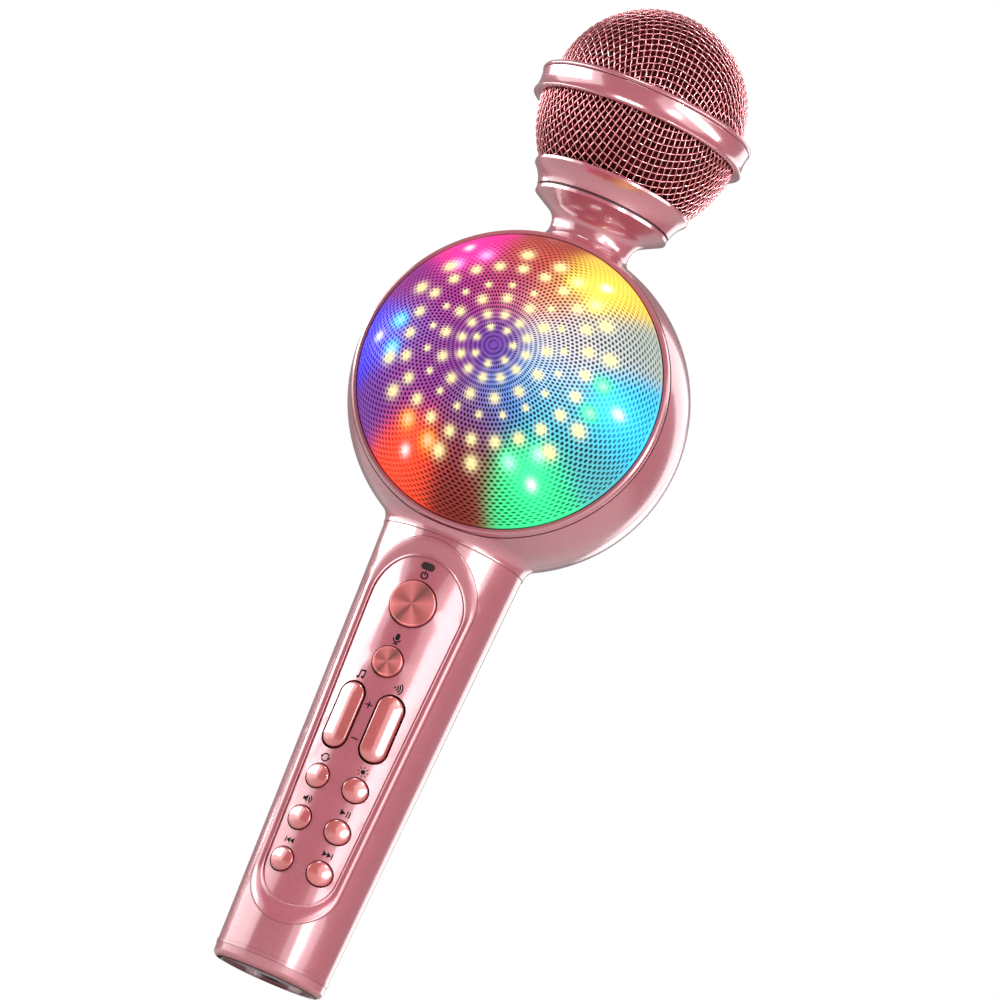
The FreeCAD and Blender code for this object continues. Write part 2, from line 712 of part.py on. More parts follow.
def half_ball(label, reverse):
    """One of the two shells, stopping just short of the seam."""
    body = new_body(label + "_blank")
    turn(body, ball_profile(), angle=180 - 2 * SEAM_ANGLE, reverse=reverse)
    seam = -SEAM_ANGLE if reverse else SEAM_ANGLE
    body.Placement = FreeCAD.Placement(Vector(), Rotation(Vector(0, 0, 1), seam))
    return body


def on_screw_ring(radius, low, high):
    """Cylinders along the loudspeaker's axis at the places of the housing screws."""
    pieces = []
    for angle in SCREW_ANGLES:
        pieces.append(cylinder(radius, low, high, *on_ring(SCREW_RING, angle), speaker_place()))
    return pieces


def make_ball_shells():
    opening = cylinder("opening_radius", 5.6, 60.0, placement=speaker_place())
    keep(cut(half_ball("ball_front_shell", True), opening), "ball_front_shell")

    limit = doc.addObject("Part::Sphere", "boss_limit")
    limit.setExpression("Radius", bound("ball_radius - 1.0"))
    limit.Placement = speaker_place()
    bosses = common(joined(on_screw_ring("3.4", -30.0, value("baffle_back") - 0.1)), limit)
    shell = joined([half_ball("ball_rear_shell", False), bosses])
    holes = joined(on_screw_ring("1.3", -40.0, 10.0) + on_screw_ring("2.6", -40.0, SCREW_SEAT))
    keep(cut(shell, holes), "ball_rear_shell")

    heads = on_screw_ring("2.2", SCREW_SEAT - 1.7, SCREW_SEAT - FIT)
    shanks = on_screw_ring("1.0", SCREW_SEAT - 0.5, 5.0)
    slots = []
    for angle in SCREW_ANGLES:
        x, y = on_ring(SCREW_RING, angle)
        low = SCREW_SEAT - 2.0
        slots.append(block((x - 0.3, y - 1.3, low), (x + 0.3, y + 1.3, low + 1.1), speaker_place()))
        slots.append(block((x - 1.3, y - 0.3, low), (x + 1.3, y + 0.3, low + 1.1), speaker_place()))
    cross = joined(slots)
    group("housing_screws", [cut(joined([head, shank]), cross) for head, shank in zip(heads, shanks)])


def make_handle_collar():
    body = new_body("handle_collar_blank")
    turn(body, [
        ("12.6", "103"), (f"{SKIRT_BORE - 0.5}", "103"), (f"{SKIRT_BORE - 0.5}", SKIRT_BOTTOM),
        (f"{SKIRT_BORE - 0.1}", SKIRT_BOTTOM), (f"{SKIRT_BORE - 0.1}", "113"),
        ("17", "113.2"), ("17", "114.6"), ("12.6", "114.6")])
    front = cylinder("opening_radius + 0.3", 3.0, 60.0, placement=speaker_place())
    keep(cut(body, front), "handle_collar")


def make_baffle_and_bezel():
    place = speaker_place()
    body = new_body("speaker_baffle_blank")
    body.Placement = place
    turn(body, [
        ("27.2", "baffle_back"), ("37", "baffle_back"),
        ("37", "baffle_back + baffle_wall"), ("27.2", "baffle_back + baffle_wall")])
    pilots = on_screw_ring("1.05", 0.0, 10.0) + at_speaker_screws("0.95", 0.0, 10.0)
    keep(cut(body, joined(pilots)), "speaker_baffle")

    floor = f"baffle_back + baffle_wall + {FIT}"
    ledge = 13.5
    turned("grille_bezel", [
        ("34.4", floor),
        ("37.2", floor),
        ("37.2", f"{BEZEL_TOP - 1.4}"),
        ("36.9", f"{BEZEL_TOP - 0.3}"),
        ("36.5", f"{BEZEL_TOP}"),
        ("35.9", f"{BEZEL_TOP}"),
        (f"grille_edge + {FIT}", f"{BEZEL_TOP - 0.4}"),
        (f"grille_edge + {FIT}", f"{ledge}"),
        ("34.4", f"{ledge}"),
    ], place)


def dome_height(radius, sphere):
    """Formula of the height on a sphere round the grille's centre at a radius from the axis."""
    return f"grille_offset + sqrt(({sphere}) ^ 2 - ({radius}) ^ 2)"


def make_speaker_grille():
    inner = "(grille_radius - mesh_wall)"
    turned("speaker_grille", [
        ("0", dome_height("0", inner), f"-{inner}"),
        ("grille_edge - mesh_wall", dome_height("grille_edge - mesh_wall", inner)),
        ("grille_edge - mesh_wall", "13.6"),
        ("grille_edge", "13.6"),
        ("grille_edge", dome_height("grille_edge", "grille_radius"), "grille_radius"),
        ("0", dome_height("0", "grille_radius")),
    ], speaker_place())


# ---------------------------------------------------------------- lamps behind the grille

CARRIER_RINGS = ((3.5, 9.0), (11.0, 13.3), (15.0, 16.7), (19.9, 22.4), (24.1, 34.0))
# Rings of white lamps: distance from the axis, number, first angle and lamp radius.
LAMP_RINGS = (
    (4.5, 7, 20.0, 0.7),
    (7.8, 12, 5.0, 0.9),
    (12.1, 13, 17.0, 1.05),
    (15.8, 18, 0.0, 0.6),
    (21.1, 24, 7.5, 1.1),
)
CLUSTER_COUNT = 6
PAIR_RING = (25.6, 9.3, 1.35)       # white pairs between clusters: distance, half angle, lamp radius
OUTER_LAMP = (29.8, 1.4)            # a cluster's outer lamp: distance from the axis and lamp radius
INNER_LAMP = (25.4, 8.0, 1.2)       # a cluster's inner pair: distance, half angle, lamp radius
LAMP_TOP = 35.9             # spherical radius of the lamps' faces, just inside the grille


def make_lamp_carrier():
    """Rings and spokes on a dome, which leave the way open for the sound."""
    inner = "(carrier_radius - 1.0)"
    place = speaker_place()
    body = new_body("lamp_carrier_dome")
    body.Placement = place
    rim = CARRIER_RINGS[-1][1]
    turn(body, [
        ("0", dome_height("0", inner), f"-{inner}"),
        (f"{rim - 1.4}", dome_height(f"{rim - 1.4}", inner)),
        (f"{rim - 1.4}", f"baffle_back + baffle_wall + {FIT}"),
        (f"{rim}", f"baffle_back + baffle_wall + {FIT}"),
        (f"{rim}", dome_height(f"{rim}", "carrier_radius"), "carrier_radius"),
        ("0", dome_height("0", "carrier_radius")),
    ])
    parts = []
    for low, high in CARRIER_RINGS:
        disc = cylinder(f"{high + 0.01}", 0.0, 50.0, placement=place)
        hole = cylinder(f"{low}", 0.0, 50.0, placement=place)
        parts.append(cut(disc, hole))
    for index in range(CLUSTER_COUNT // 2):
        angle = index * 360 / CLUSTER_COUNT
        spoke_place = place * FreeCAD.Placement(Vector(), Rotation(Vector(0, 0, 1), angle))
        parts.append(block((-33.0, -1.6, 0.0), (33.0, 1.6, 50.0), spoke_place))
    keep(common(body, joined(parts)), "lamp_carrier")


def lamp(radius, ring, angle):
    """One lamp standing on the carrier's dome at a distance from its apex."""
    tip = math.degrees(math.asin(ring / value("carrier_radius")))
    place = (speaker_place()
             * FreeCAD.Placement(Vector(0, 0, value("grille_offset")), Rotation(Vector(0, 0, 1), angle))
             * FreeCAD.Placement(Vector(), Rotation(Vector(0, 1, 0), tip)))
    return cylinder(f"{radius}", value("carrier_radius") + FIT, LAMP_TOP, placement=place)


def make_lamps():
    white = []
    for ring, count, start, radius in LAMP_RINGS:
        for index in range(count):
            white.append(lamp(radius, ring, start + index * 360 / count))
    coloured = []
    step = 360 / CLUSTER_COUNT
    for index in range(CLUSTER_COUNT):
        coloured.append(lamp(OUTER_LAMP[1], OUTER_LAMP[0], index * step))
        for side in (-1, 1):
            coloured.append(lamp(INNER_LAMP[2], INNER_LAMP[0], index * step + side * INNER_LAMP[1]))
            white.append(lamp(PAIR_RING[2], PAIR_RING[0], (index + 0.5) * step + side * PAIR_RING[1]))
    group("white_lamps", white)
    group("colour_lamps", coloured)


# ---------------------------------------------------------------- loudspeaker

SPEAKER_SCREW_RING = 29.7
BASKET_WINDOWS = 4


def at_speaker_screws(radius, low, high):
    """Cylinders along the loudspeaker's axis at the places of its four screws."""
    pieces = []
    for angle in (0, 90, 180, 270):
        spot = on_ring(SPEAKER_SCREW_RING, angle)
        pieces.append(cylinder(radius, low, high, *spot, speaker_place()))
    return pieces


def make_speaker_frame():
    place = speaker_place()
    body = new_body("speaker_frame_blank")
    body.Placement = place
    floor = "baffle_back + baffle_wall"
    turn(body, [
        ("26", f"{floor} + 1.1"), ("31", f"{floor} + 1.1"), ("31", f"{floor} + {FIT}"),
        ("27", f"{floor} + {FIT}"), ("27", f"{floor} - 1"), ("19.2", "-5"), ("19.2", "-5.95"),
        ("10.2", "-5.95"), ("10.2", "-5.1"), ("18.2", "-5.1"), ("18.2", "-4.4"), ("26", f"{floor} - 0.8")])
    windows = []
    for index in range(BASKET_WINDOWS):
        angle = 45 + index * 360 / BASKET_WINDOWS
        window_place = place * FreeCAD.Placement(Vector(), Rotation(Vector(0, 0, 1), angle))
        windows.append(block((15.0, -8.0, -3.6), (30.0, 8.0, 3.0), window_place))
    tools = joined(windows + at_speaker_screws("1.0", 0.0, 10.0))
    keep(cut(body, tools), "speaker_frame")
    heads = at_speaker_screws("1.35", 6.55, 7.6)
    shanks = at_speaker_screws("0.85", 3.8, 7.0)
    group("speaker_screws", [joined(list(pair)) for pair in zip(heads, shanks)])


def cap_sphere(beyond, rise):
    """Formula of the sphere's radius for a cap over the voice coil with a given rise."""
    return f"((coil_radius + coil_wall + {beyond}) ^ 2 + {rise} ^ 2) / (2 * {rise})"


def make_speaker_motor():
    place = speaker_place()
    turned("speaker_magnet", [("10", "-12.5"), ("17", "-12.5"), ("17", "-7.55"), ("10", "-7.55")], place)
    turned("magnet_top_plate", [("9", "-7.5"), ("16", "-7.5"), ("16", "-6"), ("9", "-6")], place)
    turned("pole_plate", [
        ("0", "-14.5"), ("17", "-14.5"), ("17", "-12.55"),
        ("7", "-12.55"), ("7", "-6"), ("0", "-6")], place)
    turned("voice_coil", [
        ("coil_radius", "-10.5"), ("coil_radius + coil_wall", "-10.5"),
        ("coil_radius + coil_wall", "-2.6"), ("coil_radius", "-2.6")], place)
    turned("speaker_cone", [
        ("coil_radius + coil_wall + 0.05", "-3.2"), ("coil_radius + coil_wall + 0.7", "-3.2"),
        ("cone_radius", "5.5"), ("cone_radius", "6.3"),
        ("coil_radius + coil_wall + 0.05", "-2.3")], place)
    turned("dust_cap", [
        ("coil_radius + coil_wall + 0.1", "-2.2"),
        ("coil_radius + coil_wall + 0.8", "-1.8", cap_sphere("0.8", 3.0)),
        ("0", "1.2"), ("0", "0.7", "-" + cap_sphere("0.1", 2.9))], place)
    turned("speaker_surround", [
        ("cone_radius + 0.1", "6.6"), ("cone_radius + 0.9", "6.6", "-1.2"), ("cone_radius + 2.9", "6.6"),
        ("cone_radius + 3.7", "6.6"), ("cone_radius + 3.7", "7.1"), ("cone_radius + 3.3", "7.1", "1.8"),
        ("cone_radius + 0.5", "7.1"), ("cone_radius + 0.1", "7.1")], place)
    turned("speaker_spider", [
        ("coil_radius + coil_wall + 0.1", "-4.4"), ("17.9", "-4.4"), ("17.9", "-3.9"),
        ("coil_radius + coil_wall + 0.1", "-3.9")], place)


# ---------------------------------------------------------------- microphone head

def make_neck_and_capsule():
    """The threaded ring in the neck, and the capsule that it carries."""
    seat = f"neck_top - 1.45 + {FIT}"
    turned("neck_thread_ring", [
        ("6.6", "186"), (f"{NECK_BORE - 0.05}", "186"), (f"{NECK_BORE - 0.05}", seat),
        ("thread_radius", seat), ("thread_radius", "neck_top + 4.5"), ("11", "neck_top + 4.5"),
        ("11", "neck_top + 0.2"), ("6.6", "neck_top + 0.2")])
    turned("capsule_holder", [
        ("5", "neck_top + 0.25"), ("10.9", "neck_top + 0.25"), ("10.9", "neck_top + 3.5"),
        ("10.2", "neck_top + 5"), ("10.2", "neck_top + 17"), ("8.6", "neck_top + 17"),
        ("8.6", "neck_top + 6"), ("5", "neck_top + 6")])
    turned("mic_capsule", [
        ("0", "neck_top + 6.1"), ("8.5", "neck_top + 6.1"), ("8.5", "neck_top + 18.4"),
        ("7.6", "neck_top + 19"), ("0", "neck_top + 19")])


def make_head_collar():
    turned("head_gasket", [
        ("thread_radius + 0.15", f"neck_top + {FIT}"), ("neck_lip - 0.3", f"neck_top + {FIT}"),
        ("neck_lip - 0.3", "neck_top + 0.55"), ("thread_radius + 0.15", "neck_top + 0.55")])
    turned("head_collar", [
        ("thread_radius + 0.06", "neck_top + 0.6"),
        ("neck_lip + 0.1", "neck_top + 0.6", "-9"),
        ("collar_radius - 0.35", "neck_top + 5.0"),
        ("collar_radius", "neck_top + 5.4"),
        ("collar_radius", "neck_top + 6.0"),
        ("collar_radius - 0.2", "neck_top + 6.2"),
        ("collar_radius - 0.55", "neck_top + 6.2"),
        ("collar_radius - 0.8", "neck_top + 5.2"),
        ("thread_radius + 0.06", "neck_top + 5.2"),
    ])


LOWER_MESH_FOOT = "neck_top + 5.3"
BAND_BOTTOM = "dome_height - 6.8"
BAND_SEAM = "dome_height - 1.2"


def make_head_grilles():
    turned("lower_grille", [
        ("17.2", LOWER_MESH_FOOT),
        ("17.2 + mesh_wall", LOWER_MESH_FOOT, "31"),
        ("24.5", f"{BAND_BOTTOM} - {FIT}"),
        ("24.5 - mesh_wall", f"{BAND_BOTTOM} - {FIT}", "-31"),
    ])
    turned("grille_band", [
        ("23", BAND_BOTTOM),
        ("band_radius - 0.7", BAND_BOTTOM),
        ("band_radius", f"{BAND_BOTTOM} + 0.6"),
        ("band_radius", f"{BAND_BOTTOM} + 1.2"),
        ("band_radius - band_waist", f"{BAND_BOTTOM} + 2.3"),
        ("band_radius - band_waist", f"{BAND_SEAM} - 1.7"),
        ("band_radius", f"{BAND_SEAM} - 0.6"),
        ("band_radius", f"{BAND_SEAM} - 0.1"),
        ("23", f"{BAND_SEAM} - 0.1"),
    ])
    turned("band_trim_ring", [
        ("dome_radius + 0.1", f"{BAND_SEAM}"),
        ("band_radius", f"{BAND_SEAM}"),
        ("band_radius", f"{BAND_SEAM} + 0.8"),
        ("band_radius - 0.6", f"{BAND_SEAM} + 1.4"),
        ("dome_radius + 0.1", f"{BAND_SEAM} + 1.4"),
    ])
    turned("upper_grille", [
        ("dome_radius - mesh_wall", f"{BAND_SEAM} - 0.05"),
        ("dome_radius", f"{BAND_SEAM} - 0.05"),
        ("dome_radius", "dome_height", "dome_radius"),
        ("0", "dome_height + dome_radius"),
        ("0", "dome_height + dome_radius - mesh_wall", "-(dome_radius - mesh_wall)"),
        ("dome_radius - mesh_wall", "dome_height"),
    ])


def make_foam_windscreen():
    lining = "(dome_radius - mesh_wall - 0.4)"
    hollow = 13.2
    hollow_top = "neck_top + 26"
    turned("foam_windscreen", [
        (f"{hollow}", "neck_top + 7"),
        ("16.9", "neck_top + 7", "29"),
        (f"{lining} - 0.6", BAND_BOTTOM),
        (f"{lining}", "dome_height", f"{lining}"),
        ("0", f"dome_height + {lining}"),
        ("0", f"{hollow_top} + {hollow}", f"-{hollow}"),
        (f"{hollow}", hollow_top),
    ])


def make_wiring():
    """Two leads from the main board up into the ball, behind the handle's collar."""
    leads = []
    turn_radius = 6.0
    for side in (-1, 1):
        foot = Vector(side * 2.0, -5.5, BOARD_TOP - 5.0)
        lower = Vector(side * 2.0, -5.5, 105.0)
        upper = Vector(side * 2.0, 6.0, 116.5)
        top = Vector(side * 2.0, 6.0, 126.0)
        path = Part.Wire(rounded_path([foot, lower, upper, top], turn_radius))
        ring = Part.Wire(Part.makeCircle(0.6, foot, Vector(0, 0, 1)))
        leads.append(path.makePipeShell([ring], True, False))
    piece = doc.addObject("Part::Feature", "wiring_harness")
    piece.Shape = Part.makeCompound(leads)
    keep(piece, "wiring_harness")


def rounded_path(points, radius):
    """Edges of straight runs joined by tangent arcs."""
    edges = []
    start = points[0]
    for before, corner, after in zip(points, points[1:], points[2:]):
        arrive = (corner - before).normalize()
        leave = (after - corner).normalize()
        turn_angle = arrive.getAngle(leave)
        trim = radius * math.tan(turn_angle / 2)
        first, last = corner - arrive * trim, corner + leave * trim
        toward = (leave - arrive).normalize()
        centre = corner + toward * (radius / math.cos(turn_angle / 2))
        middle = centre - toward * radius
        edges.append(Part.LineSegment(start, first).toShape())
        edges.append(Part.Arc(first, middle, last).toShape())
        start = last
    edges.append(Part.LineSegment(start, points[-1]).toShape())
    return edges


# ---------------------------------------------------------------- build, check and write

make_handle_tube()
make_base()
make_panel_frame()
make_control_panel()
make_indicator_lens()
for key in KEYS:
    if key[4]:
        make_rocker(key)
    else:
        make_button(key)
make_rocker_mount()
make_boards()
make_battery()
make_sockets()
make_ball_shells()
make_handle_collar()
make_baffle_and_bezel()
make_speaker_grille()
make_lamp_carrier()
make_lamps()
make_speaker_frame()
make_speaker_motor()
make_neck_and_capsule()
make_head_collar()
make_head_grilles()
make_foam_windscreen()
make_wiring()
doc.recompute()

problems = []
for item in doc.Objects:
    if {"Invalid", "Error"} & set(item.State):
        problems.append(f"{item.Label}: {item.State}")
for piece in sub_parts:
    if piece.Shape.isNull() or not piece.Shape.isValid() or piece.Shape.Volume <= 0:
        problems.append(f"{piece.Label}: no valid solid")
if problems:
    raise SystemExit("\n".join(problems))

os.makedirs("parts", exist_ok=True)
for piece in sub_parts:
    piece.Shape.exportStep(f"parts/{piece.Label}.step")
    print(f"{piece.Label}: {len(piece.Shape.Solids)} solids, {piece.Shape.Volume:.0f} mm3")
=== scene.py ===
"""Looks of the karaoke microphone: lacquered housing, woven head, lit loudspeaker grille."""

import json
import math

import bpy
import numpy as np
from mathutils import Matrix, Vector, noise


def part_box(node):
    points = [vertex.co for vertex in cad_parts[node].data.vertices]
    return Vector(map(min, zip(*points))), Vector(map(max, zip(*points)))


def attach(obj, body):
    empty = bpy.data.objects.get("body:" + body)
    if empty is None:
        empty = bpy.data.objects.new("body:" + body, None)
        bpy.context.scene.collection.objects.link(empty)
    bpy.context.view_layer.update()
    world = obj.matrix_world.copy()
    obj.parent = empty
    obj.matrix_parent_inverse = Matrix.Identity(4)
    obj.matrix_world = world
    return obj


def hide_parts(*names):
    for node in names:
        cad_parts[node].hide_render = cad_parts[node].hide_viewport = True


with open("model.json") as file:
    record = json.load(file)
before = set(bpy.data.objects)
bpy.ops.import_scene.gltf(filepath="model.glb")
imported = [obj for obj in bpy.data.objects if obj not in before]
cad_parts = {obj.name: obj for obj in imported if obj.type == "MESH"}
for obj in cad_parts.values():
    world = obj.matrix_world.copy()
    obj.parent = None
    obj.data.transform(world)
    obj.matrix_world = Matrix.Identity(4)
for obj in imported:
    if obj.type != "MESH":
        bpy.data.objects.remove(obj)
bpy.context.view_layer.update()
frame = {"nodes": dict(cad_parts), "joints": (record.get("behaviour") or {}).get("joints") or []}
NODES = frame["nodes"]
MM = 0.001


# ---------------- places taken from the frame

def corner(node, axis, end):
    """One coordinate of a node's box: end 0 is the low side, 1 the high side."""
    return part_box(node)[end][axis]


JOINTS = {joint["name"]: joint for joint in frame["joints"]}
SPEAKER_TILT = math.asin(Vector(JOINTS["cone_excursion"]["axis"]).normalized().z)
BALL_CENTRE = Vector((0, 0, 146.5 * MM))
SPEAKER_PLACE = Matrix.Translation(BALL_CENTRE) @ Matrix.Rotation(math.pi / 2 - SPEAKER_TILT, 4, "X")
HANDLE_BASE = 13.6          # handle radius at the base, in millimetres
HANDLE_TAPER = 0.0352       # growth of the handle radius per millimetre of height


def add_object(name, data):
    """A new object in the scene."""
    thing = bpy.data.objects.new(name, data)
    bpy.context.scene.collection.objects.link(thing)
    return thing


def lathed(radius, height, turn):
    """The point at a radius, a height and an angle round the Z axis."""
    return Vector((radius * math.cos(turn), radius * math.sin(turn), height))


# ---------------- shader nodes

def linear(colour):
    """An sRGB hex colour such as 'cc7377' as linear RGBA."""
    channels = [int(colour[index:index + 2], 16) / 255 for index in (0, 2, 4)]
    return [c / 12.92 if c <= 0.04045 else ((c + 0.055) / 1.055) ** 2.4 for c in channels] + [1.0]


def feed(node, **inputs):
    """Gives sockets of a node, named with _ for a space, a value or the output that feeds them."""
    for name, value in inputs.items():
        socket = node.inputs[name.replace("_", " ")]
        if isinstance(value, bpy.types.NodeSocket):
            node.id_data.links.new(value, socket)
        else:
            socket.default_value = value
    return node


def mix_shaders(tree, share, first, second):
    """The mix of two shaders: the first at share 0, the second at share 1."""
    mix = tree.nodes.new("ShaderNodeMixShader")
    for socket, source in zip(mix.inputs, (share, first, second)):
        tree.links.new(source, socket)
    return mix.outputs["Shader"]


# ---------------- camera, floor and light

CAMERA_AZIMUTH = math.radians(13.9)
CAMERA_ELEVATION = math.radians(-9.0)
CAMERA_ROLL = math.radians(23.7)
CAMERA_DISTANCE = 1.6
SENSOR = 36.0
FRAME_WIDTH = 1000 / 4.3 * MM           # width of the picture at the microphone
AIM_HEIGHT = 123.6 * MM
AIM_SIDE = 5.1 * MM
CLIP_START = 0.05


def around(azimuth, elevation, distance, centre):
    """A point seen from the centre at an azimuth from the front towards +X, and an elevation."""
    flat = math.cos(elevation)
    away = Vector((math.sin(azimuth) * flat, -math.cos(azimuth) * flat, math.sin(elevation)))
    return centre + away * distance


def make_camera():
    """A long lens from a little below, rolled so that the microphone leans to the right."""
    data = bpy.data.cameras.new("camera")
    camera = add_object("camera", data)
    back = around(CAMERA_AZIMUTH, CAMERA_ELEVATION, 1.0, Vector())
    right = Vector((0, 0, 1)).cross(back).normalized()
    up = back.cross(right)
    aim = Vector((0, 0, AIM_HEIGHT)) + right * AIM_SIDE
    rolled_right = right * math.cos(CAMERA_ROLL) + up * math.sin(CAMERA_ROLL)
    rolled_up = up * math.cos(CAMERA_ROLL) - right * math.sin(CAMERA_ROLL)
    place = Matrix((rolled_right, rolled_up, back)).transposed().to_4x4()
    place.translation = aim + back * CAMERA_DISTANCE
    camera.matrix_world = place
    data.sensor_width = SENSOR
    data.lens = SENSOR * CAMERA_DISTANCE / FRAME_WIDTH
    data.clip_start = CLIP_START
    bpy.context.scene.camera = camera


# Soft boxes: azimuth and elevation in degrees, distance, width and height in metres, power in watts.
# On each side a wide, dim box and a bright strip make a reflection that is sharp at one edge.
# The spark makes the highlight on the head's band.
SOFT_BOXES = {
    "left_box": (-76, 9, 1.5, 1.15, 1.9, 12),
    "left_strip": (-90, 9, 1.45, 0.4, 1.9, 15),
    "right_box": (54, 9, 1.5, 1.25, 1.9, 8.5),
    "right_strip": (70, 9, 1.45, 0.35, 1.9, 11),
    "top_box": (-14, 56, 1.4, 0.5, 0.3, 7),
    "rim_box": (160, 15, 1.6, 0.7, 1.6, 6),
    "spark": (42, 19, 1.4, 0.1, 0.1, 9),
}


def make_lights():
    """The soft boxes, all turned to the middle of the microphone."""
    centre = Vector((0, 0, AIM_HEIGHT))
    for name, (azimuth, elevation, distance, width, height, power) in SOFT_BOXES.items():
        data = bpy.data.lights.new(name, "AREA")
        data.shape = "RECTANGLE"
        data.size = width
        data.size_y = height
        data.energy = power
        light = add_object(name, data)
        place = around(math.radians(azimuth), math.radians(elevation), distance, centre)
        light.location = place
        light.rotation_euler = (centre - place).to_track_quat("-Z", "Z").to_euler()


SEEN_WHITE = (1, 1, 1, 1)
AMBIENT_COLOUR = (1.0, 0.96, 0.96, 1)
AMBIENT = 0.27


def make_world():
    """White to the eye, and a dim warm grey in reflections, so that the soft boxes read."""
    world = bpy.data.worlds.new("studio")
    world.use_nodes = True
    bpy.context.scene.world = world
    tree = world.node_tree
    tree.nodes.clear()
    seen = feed(tree.nodes.new("ShaderNodeBackground"), Color=SEEN_WHITE, Strength=1.0)
    reflected = feed(tree.nodes.new("ShaderNodeBackground"), Color=AMBIENT_COLOUR, Strength=AMBIENT)
    path = tree.nodes.new("ShaderNodeLightPath")
    mix = mix_shaders(tree, path.outputs["Is Camera Ray"], reflected.outputs["Background"],
                      seen.outputs["Background"])
    feed(tree.nodes.new("ShaderNodeOutputWorld"), Surface=mix)


FLOOR_RADIUS = 1.5
FLOOR_FADE = (0.3, 1.3)     # where the floor begins and ends to fade out, in metres from the foot
FLOOR_HOLE = 0.0115         # inside the microphone's foot, so that light reaches its underside
FLOOR_CORNERS = 48
FLOOR_COLOUR = (0.62, 0.61, 0.6, 1)
FLOOR_ROUGHNESS = 0.75


def floor_paint():
    """Pale paint that fades out with the distance from the foot and is clear from below."""
    material = bpy.data.materials.new("floor_paint")
    material.use_nodes = True
    tree = material.node_tree
    paint = feed(tree.nodes["Principled BSDF"], Base_Color=FLOOR_COLOUR, Roughness=FLOOR_ROUGHNESS)
    distance = tree.nodes.new("ShaderNodeVectorMath")
    distance.operation = "LENGTH"
    feed(distance, Vector=tree.nodes.new("ShaderNodeTexCoord").outputs["Object"])
    fade = tree.nodes.new("ShaderNodeMapRange")
    fade.interpolation_type = "SMOOTHSTEP"
    feed(fade, Value=distance.outputs["Value"], From_Min=FLOOR_FADE[0], From_Max=FLOOR_FADE[1])
    clear_share = tree.nodes.new("ShaderNodeMath")
    clear_share.operation = "MAXIMUM"
    side = tree.nodes.new("ShaderNodeNewGeometry")
    tree.links.new(side.outputs["Backfacing"], clear_share.inputs[0])
    tree.links.new(fade.outputs["Result"], clear_share.inputs[1])
    clear = tree.nodes.new("ShaderNodeBsdfTransparent")
    mix = mix_shaders(tree, clear_share.outputs["Value"], paint.outputs["BSDF"], clear.outputs["BSDF"])
    feed(tree.nodes["Material Output"], Surface=mix)
    return material


def make_floor():
    """A round floor under the microphone's foot."""
    rings = turned_rings(((FLOOR_RADIUS / MM, 0), (FLOOR_HOLE / MM, 0)), FLOOR_CORNERS)
    vertices, faces = strips(rings)
    mesh = bpy.data.meshes.new("floor")
    mesh.from_pydata(vertices, [], faces)
    mesh.materials.append(floor_paint())
    add_object("floor", mesh)


# ---------------- materials

class Finish:
    """A Principled material with the nodes that give its grain."""

    def __init__(self, name, colour, roughness, metallic=0.0, **sockets):
        self.material = bpy.data.materials.new(name)
        self.material.use_nodes = True
        self.nodes = self.material.node_tree.nodes
        self.colour = linear(colour)
        self.shader = feed(self.nodes["Principled BSDF"], Base_Color=self.colour, Metallic=metallic,
                           Roughness=roughness, **sockets)
        self.place = self.nodes.new("ShaderNodeTexCoord").outputs["Object"]

    def noise(self, scale, detail=3.0):
        """A noise pattern with a grain of about 1 / scale metres."""
        pattern = self.nodes.new("ShaderNodeTexNoise")
        return feed(pattern, Vector=self.place, Scale=scale, Detail=detail).outputs["Fac"]

    def spread(self, value, low, high):
        """Maps a pattern between 0.3 and 0.7 to a range."""
        ramp = self.nodes.new("ShaderNodeMapRange")
        feed(ramp, Value=value, From_Min=0.3, From_Max=0.7, To_Min=low, To_Max=high)
        return ramp.outputs["Result"]

    def mix_colours(self, share, first, second):
        """The mix of two colours: the first at share 0, the second at share 1."""
        mix = self.nodes.new("ShaderNodeMix")
        mix.data_type = "RGBA"
        return feed(mix, Factor=share, A=first, B=second).outputs["Result"]

    def vary_roughness(self, scale, low, high):
        """Varies the roughness over a noise pattern."""
        feed(self.shader, Roughness=self.spread(self.noise(scale), low, high))
        return self

    def vary_colour(self, scale, second, detail=3.0):
        """Mixes in a second colour over a noise pattern."""
        share = self.spread(self.noise(scale, detail), 0.0, 1.0)
        feed(self.shader, Base_Color=self.mix_colours(share, self.colour, linear(second)))
        return self

    def bump(self, scale, depth):
        """Raises the surface over a noise pattern by a depth in metres."""
        bump = feed(self.nodes.new("ShaderNodeBump"), Height=self.noise(scale, 2.0), Distance=depth,
                    Strength=1.0)
        feed(self.shader, Normal=bump.outputs["Normal"])
        return self


def lacquer(name, colour, second, roughness, coat=1.0):
    """Metallic lacquer: a flake layer of two close tones under a clear coat."""
    finish = Finish(name, colour, metallic=0.15, roughness=roughness, Specular_IOR_Level=0.8,
                    Coat_Weight=coat, Coat_Roughness=0.13, Coat_IOR=2.3)
    finish.vary_colour(2600, second, 1.0)
    finish.vary_roughness(90, roughness - 0.03, roughness + 0.04)
    return finish.bump(4200, 2e-7)


def plain(name, colour, second, roughness, metallic=0.0, grain=600, depth=6e-6, **sockets):
    """A moulded, cast or plated surface with a fine grain."""
    finish = Finish(name, colour, metallic=metallic, roughness=roughness, **sockets)
    finish.vary_colour(grain / 3, second)
    finish.vary_roughness(grain, roughness - 0.05, roughness + 0.06)
    return finish.bump(grain, depth)


# ---------------- one finish for each slot

def rose_metal():
    return lacquer("rose_metal", "ae5663", "a6505c", 0.25)


def rose_shell():
    return lacquer("rose_shell", "af5764", "a7515e", 0.27)


def rose_panel():
    return lacquer("rose_panel", "ad5763", "a5515d", 0.32, coat=0.5)


